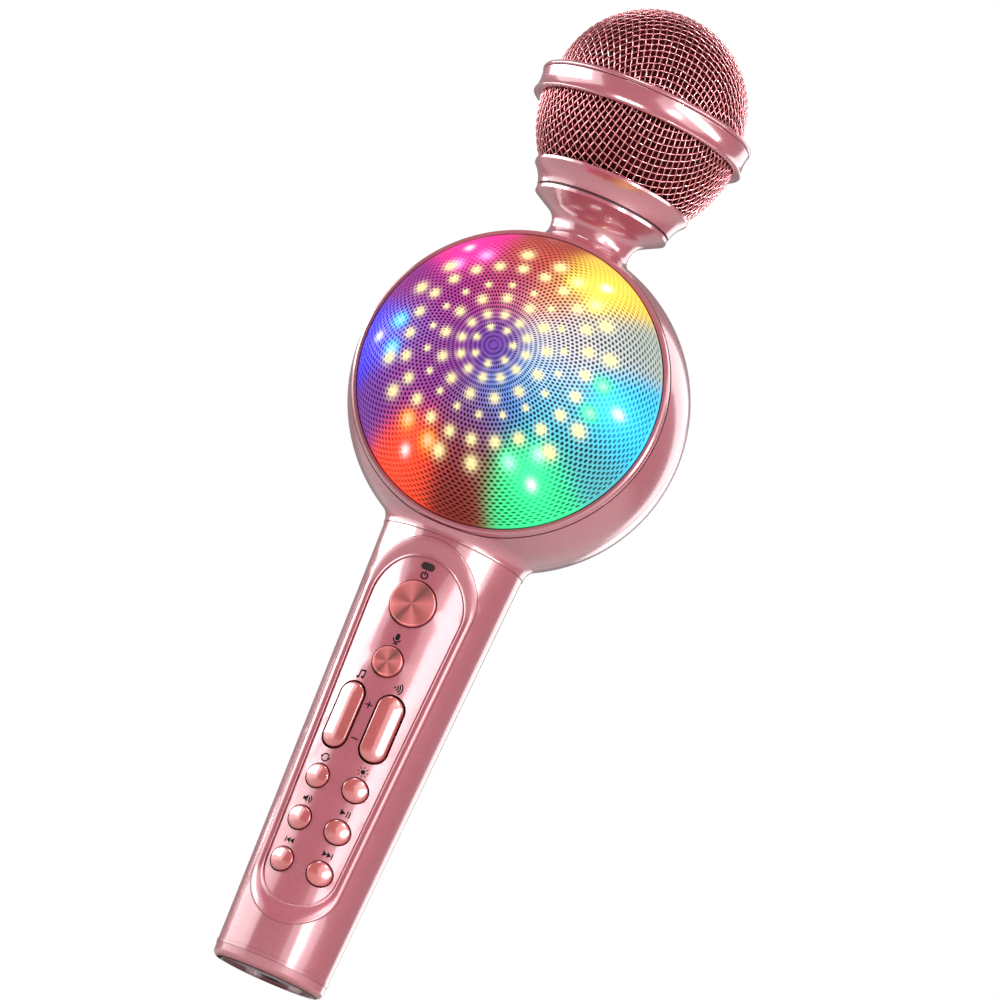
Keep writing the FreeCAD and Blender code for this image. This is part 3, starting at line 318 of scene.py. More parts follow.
def coral_key():
    return plain("coral_key", "bd5654", "b34f4e", 0.25, metallic=0.2, depth=6e-7, Coat_Weight=1.0,
                 Coat_IOR=2.2, Coat_Roughness=0.1)


# The fan of sheen painted into the base colour of a lathe-faced key: share of a turn and colour, over half
# a turn.
PAINTED_SHEEN_TURN = math.radians(66)
PAINTED_SHEEN = (
    (0.0, "8a5652"), (0.06, "d87474"), (0.125, "f08a8a"), (0.19, "c06664"), (0.25, "c46a68"),
    (0.31, "e07e7e"), (0.375, "ee8888"), (0.44, "c46c6a"), (0.5, "8a5652"),
)


def painted_sheen_share(finish):
    """How far a place is turned round the key's middle, as a share of a turn, the same in both halves; it
    places the painted sheen.
    """
    centred = feed(finish.nodes.new("ShaderNodeMapping"), Location=(-0.5, 0.5, 0.0),
                   Rotation=(math.pi / 2, 0.0, 0.0),
                   Vector=finish.nodes.new("ShaderNodeTexCoord").outputs["Generated"])
    turned = feed(finish.nodes.new("ShaderNodeMapping"), Rotation=(0.0, 0.0, PAINTED_SHEEN_TURN),
                  Vector=centred.outputs["Vector"])
    fan = finish.nodes.new("ShaderNodeTexGradient")
    fan.gradient_type = "RADIAL"
    feed(fan, Vector=turned.outputs["Vector"])
    folded = finish.nodes.new("ShaderNodeMath")
    folded.operation = "PINGPONG"
    folded.inputs[1].default_value = 0.5
    finish.material.node_tree.links.new(fan.outputs["Fac"], folded.inputs[0])
    return folded.outputs["Value"]


def copper_key():
    """Metal faced on a lathe, with a radial anisotropic reflection and a fan of painted sheen in its base
    colour.
    """
    finish = Finish("copper_key", "e07c7c", metallic=0.6, roughness=0.3, Anisotropic=0.5)
    tangent = finish.nodes.new("ShaderNodeTangent")
    tangent.direction_type = "RADIAL"
    tangent.axis = "Y"
    # Painted sheen: bright and dark sectors in the base colour.
    ramp = feed(finish.nodes.new("ShaderNodeValToRGB"), Fac=painted_sheen_share(finish))
    stops = ramp.color_ramp.elements
    stops.remove(stops[-1])
    stops[0].color = linear(PAINTED_SHEEN[0][1])
    for share, colour in PAINTED_SHEEN[1:]:
        stops.new(share).color = linear(colour)
    feed(finish.shader, Tangent=tangent.outputs["Tangent"], Base_Color=ramp.outputs["Color"])
    return finish


def dark_lens():
    return plain("dark_lens", "26181b", "2f1d20", 0.08, grain=300, depth=3e-7, Coat_Weight=1.0)


def rose_mesh():
    return plain("rose_mesh", "f8acb0", "e89298", 0.2, metallic=1.0, grain=2500, depth=1e-6)


# Strength of the glow from the lamps' light that is painted into the grille sheet.
PAINTED_GRILLE_GLOW = 0.78
PAINTED_GRILLE_TINT = 0.6           # share of the painted lamp light in the sheet's base colour


def lit_grille():
    """Steel sheet with the lamps' light painted on it: the colour attribute lamp_light tints its base
    colour and makes it glow.
    """
    finish = Finish("lit_grille", "1c1a1c", roughness=0.4, Emission_Strength=PAINTED_GRILLE_GLOW,
                    Specular_IOR_Level=0.2)
    light = finish.nodes.new("ShaderNodeVertexColor")
    light.layer_name = "lamp_light"
    glow_colour = light.outputs["Color"]
    feed(finish.shader, Base_Color=finish.mix_colours(PAINTED_GRILLE_TINT, finish.colour, glow_colour),
         Emission_Color=glow_colour)
    return finish.bump(2500, 1e-6)


def carrier_black():
    return plain("carrier_black", "0e0c0e", "141114", 0.6, grain=900)


def circuit_board():
    return plain("circuit_board", "1d4a33", "153a28", 0.35, grain=1200, depth=4e-6)


def black_plastic():
    return plain("black_plastic", "1b191b", "232023", 0.5, grain=1800, depth=4e-6)


def steel():
    return plain("steel", "b9b6b2", "a6a39f", 0.28, metallic=1.0, grain=1600, depth=1.5e-6)


def battery_wrap():
    return plain("battery_wrap", "2f6f9a", "2a648c", 0.3, grain=400, depth=3e-6, Coat_Weight=0.4)


def magnet():
    return plain("magnet", "3a3937", "2e2d2c", 0.65, grain=2200, depth=8e-6)


def cone_paper():
    return plain("cone_paper", "2a2626", "352f2e", 0.8, grain=1500, depth=3e-5)


def spider_cloth():
    return plain("spider_cloth", "b98a3e", "a37631", 0.85, grain=2600, depth=2e-5)


def rose_seal():
    return plain("rose_seal", "4a2228", "3e1c22", 0.6, grain=2000, depth=4e-6)


def rubber():
    return plain("rubber", "0c0a0b", "131011", 0.8, grain=2000, depth=2e-6, Specular_IOR_Level=0.15)


def copper():
    return plain("copper", "b8693c", "a65c33", 0.3, metallic=1.0, grain=3000, depth=3e-6)


def brass():
    return plain("brass", "c9a45c", "b8934e", 0.3, metallic=1.0, grain=1500, depth=2e-6)


def foam():
    return plain("foam", "4a1214", "300a0b", 0.95, grain=1400, depth=4e-4, Specular_IOR_Level=0.05)


def glow(name, core, strength):
    """A lamp: clear plastic with its own light."""
    finish = Finish(name, core, roughness=0.25, Emission_Color=linear(core), Emission_Strength=strength)
    return finish.vary_colour(900, "ffffff").bump(1500, 2e-6)


def lamp_white():
    return glow("lamp_white", "fff0b4", 0.95)


def lamp_colour():
    return glow("lamp_colour", "e8f4ff", 0.9)


FINISHES = (
    rose_metal, rose_shell, rose_panel, coral_key, copper_key, dark_lens, rose_mesh, lit_grille,
    carrier_black, lamp_white, lamp_colour, circuit_board, black_plastic, steel, battery_wrap, magnet,
    cone_paper, spider_cloth, rose_seal, rubber, copper, brass, foam,
)
OWN_FINISH = {"head_gasket": "rose_seal"}       # a node that doesn't take its slot's finish


def finish_nodes():
    """Gives every CAD node the finish that is named like its slot, and returns the materials by name."""
    slots = {name: node.data.materials[0].name for name, node in NODES.items()}
    made = {finish.__name__: finish().material for finish in FINISHES}
    for name, node in NODES.items():
        node.data.materials.clear()
        node.data.materials.append(made[OWN_FINISH.get(name, slots[name])])
    return made


# ---------------- piece helpers

def add_piece(name, vertices, faces, slot, body="root", smooth=True):
    """A new mesh piece in the row frame that rides on a body and takes a slot's finish."""
    mesh = bpy.data.meshes.new(name)
    mesh.from_pydata(vertices, [], faces)
    mesh.materials.append(MATERIALS[slot])
    mesh.polygons.foreach_set("use_smooth", [smooth] * len(mesh.polygons))
    mesh.update()
    piece = add_object(name, mesh)
    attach(piece, body)
    return piece


def turns(count, shift=0.0):
    """The angles of a full turn in equal steps, the first at a share of a step."""
    return [2 * math.pi * (index + shift) / count for index in range(count)]


def ring_faces(low, high, count):
    """Faces between two rings of points, which start at low and at high."""
    faces = []
    for index in range(count):
        after = (index + 1) % count
        faces.append((low + index, low + after, high + after, high + index))
    return faces


def strips(rings, cap=False, loop=False):
    """Vertices and faces of a skin over rings of equally many points.

    cap fills the last ring, and loop joins it to the first.
    """
    count = len(rings[0])
    vertices = [point for ring in rings for point in ring]
    faces = []
    for row in range(len(rings) if loop else len(rings) - 1):
        faces += ring_faces(row * count, (row + 1) % len(rings) * count, count)
    if cap:
        faces.append(tuple(range(len(vertices) - count, len(vertices))))
    return vertices, faces


def turned_rings(profile, count):
    """Rings about the Z axis from (radius, height) points in millimetres."""
    return [[lathed(radius, height, turn) * MM for turn in turns(count)] for radius, height in profile]


# ---------------- woven head

WIRE = 0.18                 # radius of the mesh wires
WEAVE_LIFT = 0.15           # how far a wire rises and dips where it crosses another
WIRE_PITCH = 1.8
WIRE_SIDES = 6


def woven_wire(surface, run, offset, family, start, turn):
    """A wire through the places of a run: it rises and dips where it crosses the other family."""
    wire = []
    for along in run:
        x, y = (along, offset) if family else (offset, along)
        point, out = surface(math.hypot(x, y), math.atan2(y, x) + turn)
        swing = math.cos(math.pi * (along / WIRE_PITCH - 0.5)) * start
        wire.append((point + out * swing * WEAVE_LIFT, out))
    return wire


def cloth_wires(surface, reach_in, reach_out, turn):
    """The wires of a flat square cloth pressed onto a surface of revolution.

    surface(flat, direction) gives the point and the outward direction there.
    """
    count = int(reach_out / WIRE_PITCH) + 1
    wires = []
    for family in (0, 1):
        for row in range(-count, count):
            offset = (row + 0.5) * WIRE_PITCH
            if abs(offset) >= reach_out:
                continue
            limit = math.sqrt(reach_out ** 2 - offset ** 2)
            hole = math.sqrt(max(reach_in ** 2 - offset ** 2, 0.0))
            last = int(limit / (WIRE_PITCH / 2))
            places = [-limit] + [step * WIRE_PITCH / 2 for step in range(-last, last + 1)] + [limit]
            runs = [[along for along in places if side * along >= hole] for side in (-1, 1)]
            for run in runs if hole else [places]:
                if len(run) > 1:
                    wires.append(woven_wire(surface, run, offset, family, (-1) ** (row + family), turn))
    return wires


def wire_skin(wires):
    """Round skins along rows of (point, outward direction) in millimetres."""
    vertices = []
    faces = []
    circle = [(math.cos(turn), math.sin(turn)) for turn in turns(WIRE_SIDES)]
    for wire in wires:
        start = len(vertices)
        for index, (point, out) in enumerate(wire):
            along = wire[min(index + 1, len(wire) - 1)][0] - wire[max(index - 1, 0)][0]
            across = along.cross(out).normalized()
            over = across.cross(along).normalized()
            vertices.extend((point + (across * c + over * s) * WIRE) * MM for c, s in circle)
        for low in range(start, len(vertices) - WIRE_SIDES, WIRE_SIDES):
            faces += ring_faces(low, low + WIRE_SIDES, WIRE_SIDES)
    return vertices, faces


DOME_RADIUS = 23.5
DOME_HEIGHT = 222.9
DOME_TURN = math.radians(22)
SKIRT_FOOT = (18.0, 200.6)
SKIRT_TOP = (24.5, 216.2)
SKIRT_BEND = 31.0
SKIRT_FLAT = 19.5           # flat distance from the cloth's middle to the skirt's foot
SKIRT_TURN = math.radians(-68)
WIRE_DEPTH = WIRE + WEAVE_LIFT


def dome_surface(flat, direction):
    """A point of the upper mesh: a dome, and below its equator a short straight wall."""
    radius = DOME_RADIUS - WIRE_DEPTH
    polar = min(flat / radius, math.pi / 2)
    drop = max(flat - radius * math.pi / 2, 0.0)
    out = lathed(math.sin(polar), math.cos(polar), direction)
    return Vector((0, 0, DOME_HEIGHT - drop)) + out * radius, out


def skirt_surface(flat, direction):
    """A point of the lower mesh: a bulging cone that widens upwards."""
    foot = Vector(SKIRT_FOOT)
    top = Vector(SKIRT_TOP)
    chord = top - foot
    inward = Vector((-chord.y, chord.x)).normalized()
    half = chord.length / 2
    centre = (foot + top) / 2 + inward * math.sqrt(SKIRT_BEND ** 2 - half ** 2)
    first = math.atan2(foot.y - centre.y, foot.x - centre.x)
    angle = first + (flat - SKIRT_FLAT) / SKIRT_BEND
    radius = centre.x + (SKIRT_BEND - WIRE_DEPTH) * math.cos(angle)
    height = centre.y + (SKIRT_BEND - WIRE_DEPTH) * math.sin(angle)
    out = lathed(math.cos(angle), math.sin(angle), direction)
    return lathed(radius, height, direction), out


def skirt_length():
    """Length of the lower mesh along its bulge."""
    chord = Vector(SKIRT_TOP) - Vector(SKIRT_FOOT)
    return 2 * SKIRT_BEND * math.asin(chord.length / 2 / SKIRT_BEND)


def make_woven_head():
    """Both wire cloths of the head."""
    dome_reach = (DOME_RADIUS - WIRE_DEPTH) * math.pi / 2 + DOME_HEIGHT - corner("upper_grille", 2, 0) / MM
    skirt_reach = SKIRT_FLAT + skirt_length()
    cloths = (
        ("upper_weave", "upper_grille", (dome_surface, 0.0, dome_reach, DOME_TURN)),
        ("lower_weave", "lower_grille", (skirt_surface, SKIRT_FLAT, skirt_reach, SKIRT_TURN)),
    )
    for name, node, cloth in cloths:
        weave = add_piece(name, *wire_skin(cloth_wires(*cloth)), "rose_mesh", "grille_head")
        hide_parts(node)


FOAM_PROFILE_IN = ((13.2, 202.5), (13.2, 221.0), (11.0, 228.4), (6.0, 233.0), (0.5, 234.0))
FOAM_RADIUS = 22.2
FOAM_MIDDLE = 0.4           # radius of the first ring, at the top
FOAM_STEPS = 14
FOAM_CORNERS = 160
FOAM_FOOT = 202.4           # height where the foam ends
FOAM_GAP = 1.1              # between the foam and the lower mesh
FOAM_PORE = 0.35            # depth of the foam's pores
FOAM_GRAINS = ((1.4, 1.0), (3.1, 0.5))      # pores per millimetre, and their weight


def foam_outline():
    """The foam's outside as (radius, height): a dome, then down the lower mesh."""
    outline = [(FOAM_MIDDLE, DOME_HEIGHT + FOAM_RADIUS)]
    for step in range(1, FOAM_STEPS + 1):
        polar_angle = math.pi / 2 * step / FOAM_STEPS
        outline.append((FOAM_RADIUS * math.sin(polar_angle),
                        DOME_HEIGHT + FOAM_RADIUS * math.cos(polar_angle)))
    for step in range(FOAM_STEPS, -1, -1):
        point = skirt_surface(SKIRT_FLAT + skirt_length() * step / FOAM_STEPS, 0.0)[0]
        if point.z > FOAM_FOOT:
            outline.append((point.x - FOAM_GAP, point.z))
    return outline


def make_foam():
    """The foam lining: it fills the mesh and is hollow over the capsule."""
    profile = list(reversed(FOAM_PROFILE_IN)) + list(reversed(foam_outline()))
    rings = turned_rings(profile, FOAM_CORNERS)
    for ring in rings[len(FOAM_PROFILE_IN):]:
        for index, point in enumerate(ring):
            grain = sum(noise.noise(point / MM * scale) * weight for scale, weight in FOAM_GRAINS)
            inward = Vector((-point.x, -point.y, 0)).normalized()
            ring[index] = point + inward * abs(grain) * FOAM_PORE * MM
    lining = add_piece("foam_lining", *strips(rings), "foam", "grille_head")
    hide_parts("foam_windscreen")


# ---------------- lit grille, with painted lamp light and shade

GRILLE_RADIUS = 37.0
GRILLE_OUT = 6.5            # distance of the grille's sphere centre from the ball's centre
GRILLE_EDGE = 35.6
GRILLE_RIM = 13.6           # where the grille's straight rim ends
HOLE_PITCH = 1.08           # distance between rings of holes, along the grille
HOLE_COUNT = 120            # holes in each full ring
SPARSE_ARC = 6.0            # inside this arc a ring has half as many holes
SMALL_ARC = 9.0             # inside this arc the holes are smaller
SMALL_HOLE = 0.8
HOLE_SIDES = 12
CLOTH_SIDES = HOLE_SIDES // 2
HOLE_HIGH = 0.39            # half a hole's height, as a share of the pitch between rings
HOLE_WIDE = 0.70            # half a hole's width, as a share of half the pitch round its ring
HOLE_TURN = math.radians(-135)          # where a hole's first corner is
HOLE_DEPTH = 0.4            # depth of the acoustic cloth behind the holes
MIDDLE_ARC = 0.01           # where the plain middle begins
FIRST_RING = 0.5
RIM_MARGIN = 0.4            # least width of the plain ring at the rim

# Clusters of lamps: angle, colour of the outer lamp and its painted pool of light, colour of the inner
# pair.
CLUSTERS = (
    (-2, "3cc4f6", "28e898"),
    (60, "fcd050", "fff070"),
    (129, "f03098", "ff70c8"),
    (188, "4030e4", "10b8ff"),
    (245, "ff4c2c", "ff9a30"),
    (307, "38f094", "70ffb4"),
)
# Painted pools of light and shade between the clusters: angle, distance, colour, reach, weight.
PAINTED_POOLS = (
    (0, 0.0, "643894", 6.0, 2.4),
    (205, 11.0, "84308c", 7.0, 2.0),
    (155, 19.0, "9c2c84", 8.0, 2.0),
    (158, 31.0, "94288c", 5.0, 2.6),
    (105, 16.0, "b04070", 7.0, 2.0),
    (95, 25.0, "cc5444", 6.0, 2.2),
    (94, 33.5, "a84840", 4.5, 2.4),
    (66, 18.0, "e89058", 5.0, 1.6),
    (32, 17.0, "c8c0c4", 7.0, 2.4),
    (30, 27.0, "b8c0c0", 5.5, 2.6),
    (32, 34.5, "a8b4a8", 4.5, 2.6),
    (352, 14.0, "90bce8", 6.0, 1.8),
    (333, 20.0, "4cbcd4", 6.0, 2.0),
    (333, 32.0, "58b8c4", 5.0, 2.6),
    (305, 12.0, "4c7ccc", 6.0, 2.0),
    (276, 16.0, "84508c", 6.0, 2.0),
    (274, 25.0, "983c40", 6.0, 2.2),
    (273, 33.0, "8c3028", 4.5, 2.8),
    (217, 21.0, "983c98", 6.5, 2.4),
    (218, 31.0, "7838a0", 5.0, 2.8),
    (182, 21.0, "6c34ac", 5.0, 1.6),
)
CLUSTER_REACH = 7.0
CLUSTER_OUT = 30.5          # distance of a cluster's painted pool of light
CLUSTER_WEIGHT = 2.8
OUTER_LAMP = (29.8, 1.4)    # distance and radius
INNER_LAMP = (25.2, 8.0, 1.3)           # distance, half angle and radius
OUTER_CORE = 0.8            # brightness of the painted white core
INNER_CORE = 0.3
# Rings of white lamps: distance, count, first angle, radius. Then pairs: distance, half angle, radius.
WHITE_RINGS = (
    (4.5, 7, 20, 0.75),
    (7.8, 12, 5, 0.95),
    (12.1, 13, 17, 1.1),
    (15.8, 18, 0, 0.7),
    (21.1, 24, 7.5, 1.15),
)
WHITE_PAIRS = (25.6, 9.3, 1.4)
WARM_WHITE = "efe0a0"
# Painted spots of light: reach in radii of the lamp, and peak, cut off at 1.
COLOUR_SPOT = (1.5, 1.4)
WHITE_SPOT = (1.05, 1.2)
CORE_REACH = 0.8            # of a coloured lamp's painted white core
COLOUR_CLOTH_SPOT = (1.5, 1.3)
WHITE_CLOTH_SPOT = (1.25, 1.1)
PAINTED_RIM_SHADE = 0.75            # light left at the rim, away from the clusters, as painted shade
MIDDLE_NEAR = 24.0          # reach of the middle's painted light
CLUSTER_NEAR = (8.5, 1.15)  # reach and peak of a cluster's painted light
PAINTED_CLOTH_SHADE = 0.035         # painted shade: light left on the cloth between the lamps
CLOTH_CLUSTER = (28.5, 5.6, 1.05)       # distance, reach and peak of a cluster's painted light on the cloth


def polar(distance, angle):
    """A point of the grille's plane, from its angle in degrees."""
    return lathed(distance, 0, math.radians(angle))


def white_lamps():
    """Centre and radius of every white lamp on the grille's plane."""
    lamps = []
    for distance, count, first, radius in WHITE_RINGS:
        lamps += [(polar(distance, first + 360 * index / count), radius) for index in range(count)]
    distance, half_angle, radius = WHITE_PAIRS
    for gap in range(30, 390, 60):
        lamps += [(polar(distance, gap + side * half_angle), radius) for side in (-1, 1)]
    return lamps


def colour_lamps():
    """Centre, radius, colour and white core of every coloured lamp on the grille's plane."""
    lamps = []
    distance, half_angle, radius = INNER_LAMP
    for angle, outer, inner in CLUSTERS:
        lamps.append((polar(OUTER_LAMP[0], angle), OUTER_LAMP[1], outer, OUTER_CORE))
        for side in (-1, 1):
            lamps.append((polar(distance, angle + side * half_angle), radius, inner, INNER_CORE))
    return lamps


def bell(spots, place, reach, peak=1.0):
    """A soft round spot of light, at most 1, at every one of the spots."""
    distance = np.hypot(spots[:, 0] - place.x, spots[:, 1] - place.y)
    return np.minimum(peak * np.exp(-(distance / reach) ** 2), 1.0)[:, None]


def blend(tone, colour, share):
    """Blends a colour into the tones."""
    return tone * (1 - share) + np.array(linear(colour)[:3]) * share


def lamp_spots(spots, lamps, spot):
    """The painted light of lamps, each with its centre and radius first, at the spots."""
    reach, peak = spot
    return [bell(spots, lamp[0], lamp[1] * reach, peak) for lamp in lamps]


def painted_pool_light(spots):
    """The broad colours of the painted light at the spots, without the lamps themselves."""
    pools = [(angle, CLUSTER_OUT, outer, CLUSTER_REACH, CLUSTER_WEIGHT) for angle, outer, inner in CLUSTERS]
    tone = np.zeros((len(spots), 3))
    total = np.full((len(spots), 1), 1e-4)
    for angle, distance, colour, reach, weight in pools + list(PAINTED_POOLS):
        share = weight * bell(spots, polar(distance, angle), reach)
        tone += np.array(linear(colour)[:3]) * share
        total += share
    return tone / total


def nearness(spots):
    """How near spots are to the middle or to a cluster of lamps, from 0 to 1."""
    near = bell(spots, polar(0, 0), MIDDLE_NEAR)
    for angle, outer, inner in CLUSTERS:
        near = np.maximum(near, bell(spots, polar(CLUSTER_OUT, angle), *CLUSTER_NEAR))
    return near


def painted_grille_light(spots):
    """Colour of the lamps' light and shade painted in the grille at spots of its plane, in millimetres."""
    # Painted shade: darker at the rim, away from the middle and the clusters.
    tone = painted_pool_light(spots) * (PAINTED_RIM_SHADE + (1 - PAINTED_RIM_SHADE) * nearness(spots))
    lamps = colour_lamps()
    for (place, radius, colour, core), share in zip(lamps, lamp_spots(spots, lamps, COLOUR_SPOT)):
        tone = blend(tone, colour, share)
        tone = blend(tone, "ffffff", bell(spots, place, radius * CORE_REACH, core))
    for share in lamp_spots(spots, white_lamps(), WHITE_SPOT):
        tone = blend(tone, WARM_WHITE, share)
    return tone


def painted_cloth_light(spots):
    """Share of the lamps' light painted on the cloth behind the holes: bright at each lamp, painted shade
    between them.
    """
    distance, reach, peak = CLOTH_CLUSTER
    lights = [bell(spots, polar(distance, angle), reach, peak) for angle, outer, inner in CLUSTERS]
    lights += lamp_spots(spots, colour_lamps(), COLOUR_CLOTH_SPOT)
    lights += lamp_spots(spots, white_lamps(), WHITE_CLOTH_SPOT)
    return np.maximum.reduce([np.full((len(spots), 1), PAINTED_CLOTH_SHADE)] + lights)


def grille_point(arc, angle, depth):
    """A point of the grille, in the row frame, from its arc distance and its angle in radians."""
    radius = GRILLE_RADIUS - depth
    polar_angle = arc / GRILLE_RADIUS
    flat = radius * math.sin(polar_angle)
    height = GRILLE_OUT + radius * math.cos(polar_angle)
    return SPEAKER_PLACE @ (lathed(flat, height, angle) * MM)


def hole_outline(arc, angle, count, shrink):
    """Arc and angle of the corners of one hole, an ellipse that is wide near the grille's edge."""
    high = HOLE_HIGH * HOLE_PITCH * shrink
    wide = HOLE_WIDE * math.pi / count
    sides = [turn + HOLE_TURN for turn in turns(HOLE_SIDES)]
    return [(arc + high * math.sin(side), angle + wide * math.cos(side)) for side in sides]


def add_hole(spots, faces, cell, outline):
    """One hole in a cell of six corners: the sheet round it, its wall, and the cloth as its floor."""
    front = len(spots)
    spots += [(arc, angle, 0.0) for arc, angle in outline]
    back = len(spots)
    spots += [(arc, angle, HOLE_DEPTH) for arc, angle in outline[::2]]
    for side, here in enumerate(cell):
        first = front + 2 * side
        second = first + 1
        third = front + (2 * side + 2) % HOLE_SIDES
        faces.append((here, second, first))
        faces.append((here, cell[(side + 1) % 6], third, second))
    for side in range(CLOTH_SIDES):
        after = (side + 1) % CLOTH_SIDES
        middle = front + 2 * side + 1
        faces.append((front + 2 * side, middle, back + side))
        faces.append((middle, front + 2 * after, back + after, back + side))
    faces.append(tuple(range(back, back + CLOTH_SIDES)))


def add_hole_ring(spots, faces, arc, count, shift, shrink):
    """One ring of holes. Its cells share their corners with both next rings."""
    step = math.pi / count
    low = len(spots)
    spots += [(arc - HOLE_PITCH / 2, index * step, 0.0) for index in range(2 * count)]
    high = len(spots)
    spots += [(arc + HOLE_PITCH / 2, index * step, 0.0) for index in range(2 * count)]
    for middle in range(shift, 2 * count + shift, 2):
        cell = [low + (middle + side) % (2 * count) for side in (-1, 0, 1)]
        cell += [high + (middle + side) % (2 * count) for side in (1, 0, -1)]
        add_hole(spots, faces, cell, hole_outline(arc, middle * step, count, shrink))


def add_plain_ring(spots, faces, inner_arc, outer_arc, count):
    """A plain ring between two arcs, with few corners."""
    start = len(spots)
    for arc in (inner_arc, outer_arc):
        spots += [(arc, turn, 0.0) for turn in turns(count)]
    faces += ring_faces(start, start + count, count)


def add_rim(spots, vertices, faces, arc):
    """The grille's straight rim, from its edge back to the bezel."""
    start = len(vertices)
    for height in (GRILLE_OUT + GRILLE_RADIUS * math.cos(arc / GRILLE_RADIUS), GRILLE_RIM):
        for turn in turns(HOLE_COUNT):
            vertices.append(SPEAKER_PLACE @ (lathed(GRILLE_EDGE, height, turn) * MM))
            spots.append((arc, turn, HOLE_DEPTH))
    faces += ring_faces(start, start + HOLE_COUNT, HOLE_COUNT)


def paint_light(piece, tones):
    """Writes the lamps' light on a piece as its colour attribute."""
    attribute = piece.data.color_attributes.new("lamp_light", "FLOAT_COLOR", "POINT")
    attribute.data.foreach_set("color", np.hstack([tones, np.ones((len(tones), 1))]).ravel())


def make_lit_grille():
    """The perforated grille, with the lamps' light and shade painted in it as a colour attribute."""
    spots = []
    faces = []
    last_arc = GRILLE_RADIUS * math.asin(GRILLE_EDGE / GRILLE_RADIUS)
    ring_count = int((last_arc - FIRST_RING - RIM_MARGIN) / HOLE_PITCH)
    arcs = [FIRST_RING + (index + 0.5) * HOLE_PITCH for index in range(ring_count)]
    add_plain_ring(spots, faces, MIDDLE_ARC, FIRST_RING, HOLE_COUNT)
    for index, arc in enumerate(arcs):
        count = HOLE_COUNT if arc > SPARSE_ARC else HOLE_COUNT // 2
        shrink = 1.0 if arc > SMALL_ARC else SMALL_HOLE
        add_hole_ring(spots, faces, arc, count, index % 2, shrink)
    add_plain_ring(spots, faces, arcs[-1] + 0.5 * HOLE_PITCH, last_arc, 2 * HOLE_COUNT)
    vertices = [grille_point(*spot) for spot in spots]
    add_rim(spots, vertices, faces, last_arc)
    grille = add_piece("perforated_grille", vertices, faces, "lit_grille", smooth=False)
    arc, turn, depth = np.array(spots).T
    flat = GRILLE_RADIUS * np.sin(arc / GRILLE_RADIUS)
    places = np.stack([flat * np.cos(turn), flat * np.sin(turn)], axis=1)
    # The cloth floors of the holes take painted shade between the lamps and painted light at them.
    share = np.where(depth[:, None] == 0, 1.0, painted_cloth_light(places))
    paint_light(grille, painted_grille_light(places) * share)
    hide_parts("speaker_grille")


# ---------------- head band

BAND_PROFILE = (
    (23.6, 216.3), (25.6, 216.12), (26.15, 216.16), (26.38, 216.34), (26.4, 216.55), (26.3, 216.8),
    (26.12, 217.2), (25.98, 217.8), (25.92, 218.5), (25.92, 219.2), (25.97, 220.0), (26.06, 220.8),
    (26.16, 221.3), (26.18, 221.45), (26.1, 221.56), (25.9, 221.6), (23.6, 221.62),
)
TRIM_PROFILE = (
    (23.7, 221.7), (26.1, 221.7), (26.3, 221.76), (26.4, 221.95), (26.4, 222.25), (26.28, 222.55),
    (25.9, 222.8), (25.3, 222.98), (24.4, 223.08), (23.85, 223.02), (23.7, 222.8),
)
BAND_CORNERS = 192


def make_head_band():
    """The band round the head and its trim ring, with soft edges and a broad hollow."""
    for name, profile, node in (("head_band", BAND_PROFILE, "grille_band"),
                                ("head_trim_ring", TRIM_PROFILE, "band_trim_ring")):
        skin = strips(turned_rings(profile, BAND_CORNERS), loop=True)
        band = add_piece(name, *skin, "rose_metal", "grille_head")
        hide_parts(node)


# ---------------- handle seam

SEAM_SINK = 0.05            # depth of the seam between handle and ball
SEAM_BACK = 0.7             # how far the lip reaches inwards
SEAM_CLEARANCE = 0.02


def make_seam_lip():
    """The lip under the ball that closes the seam at the handle's top."""
    low = corner("handle_tube", 2, 1) / MM
    high = corner("ball_rear_shell", 2, 0) / MM
    radius = HANDLE_BASE + HANDLE_TAPER * low - SEAM_SINK
    low += SEAM_CLEARANCE
    high -= SEAM_CLEARANCE
    profile = ((radius - SEAM_BACK, low), (radius, low), (radius, high), (radius - SEAM_BACK, high))
    add_piece("seam_lip", *strips(turned_rings(profile, BAND_CORNERS), loop=True), "rose_shell")


# ---------------- control panel

PLATE_SINK = 1.1            # depth of the panel under the handle's surface
RECESS = (11.7, 106.9, 10.9, 13.5)      # bottom, top, and end radii of the recess
PLATE = (16.5, 102.1, 8.9, 11.4)        # the same of the control panel
OUTLINE_STEPS = 40          # steps along each end and each side
PLATE_GAP = 0.02
FRAME_TOP = ((0.02, -0.9), (0.02, -0.06), (0.07, 0.0), (0.22, 0.02), (0.45, 0.0))   # inset, rise
# The slope from the frame's top to the panel: share of the way, and rise.
FRAME_SLOPE = (
    (0.15, -0.06), (0.3, -0.17), (0.45, -0.32), (0.6, -0.50), (0.74, -0.67), (0.84, -0.78),
    (0.90, -0.78), (0.935, -0.73), (0.965, -0.76), (0.985, -0.86), (0.995, -1.0), (1.0, -1.3),
)


def on_handle(x, height, offset):
    """A point in front of the axis, offset outwards from the handle's surface."""
    radius = HANDLE_BASE + HANDLE_TAPER * height + offset
    return Vector((x, -math.sqrt(max(radius ** 2 - x ** 2, 0.0)), height)) * MM


def between(start, end, share):
    """The point (x, height) at a share of the way from start to end."""
    return (start[0] + (end[0] - start[0]) * share, start[1] + (end[1] - start[1]) * share)


def end_arc(height, radius, first, sweep):
    """Points along the arc at one end of a stadium."""
    angles = [first + sweep * step / OUTLINE_STEPS for step in range(OUTLINE_STEPS + 1)]
    return [(math.cos(angle) * radius, height + math.sin(angle) * radius) for angle in angles]


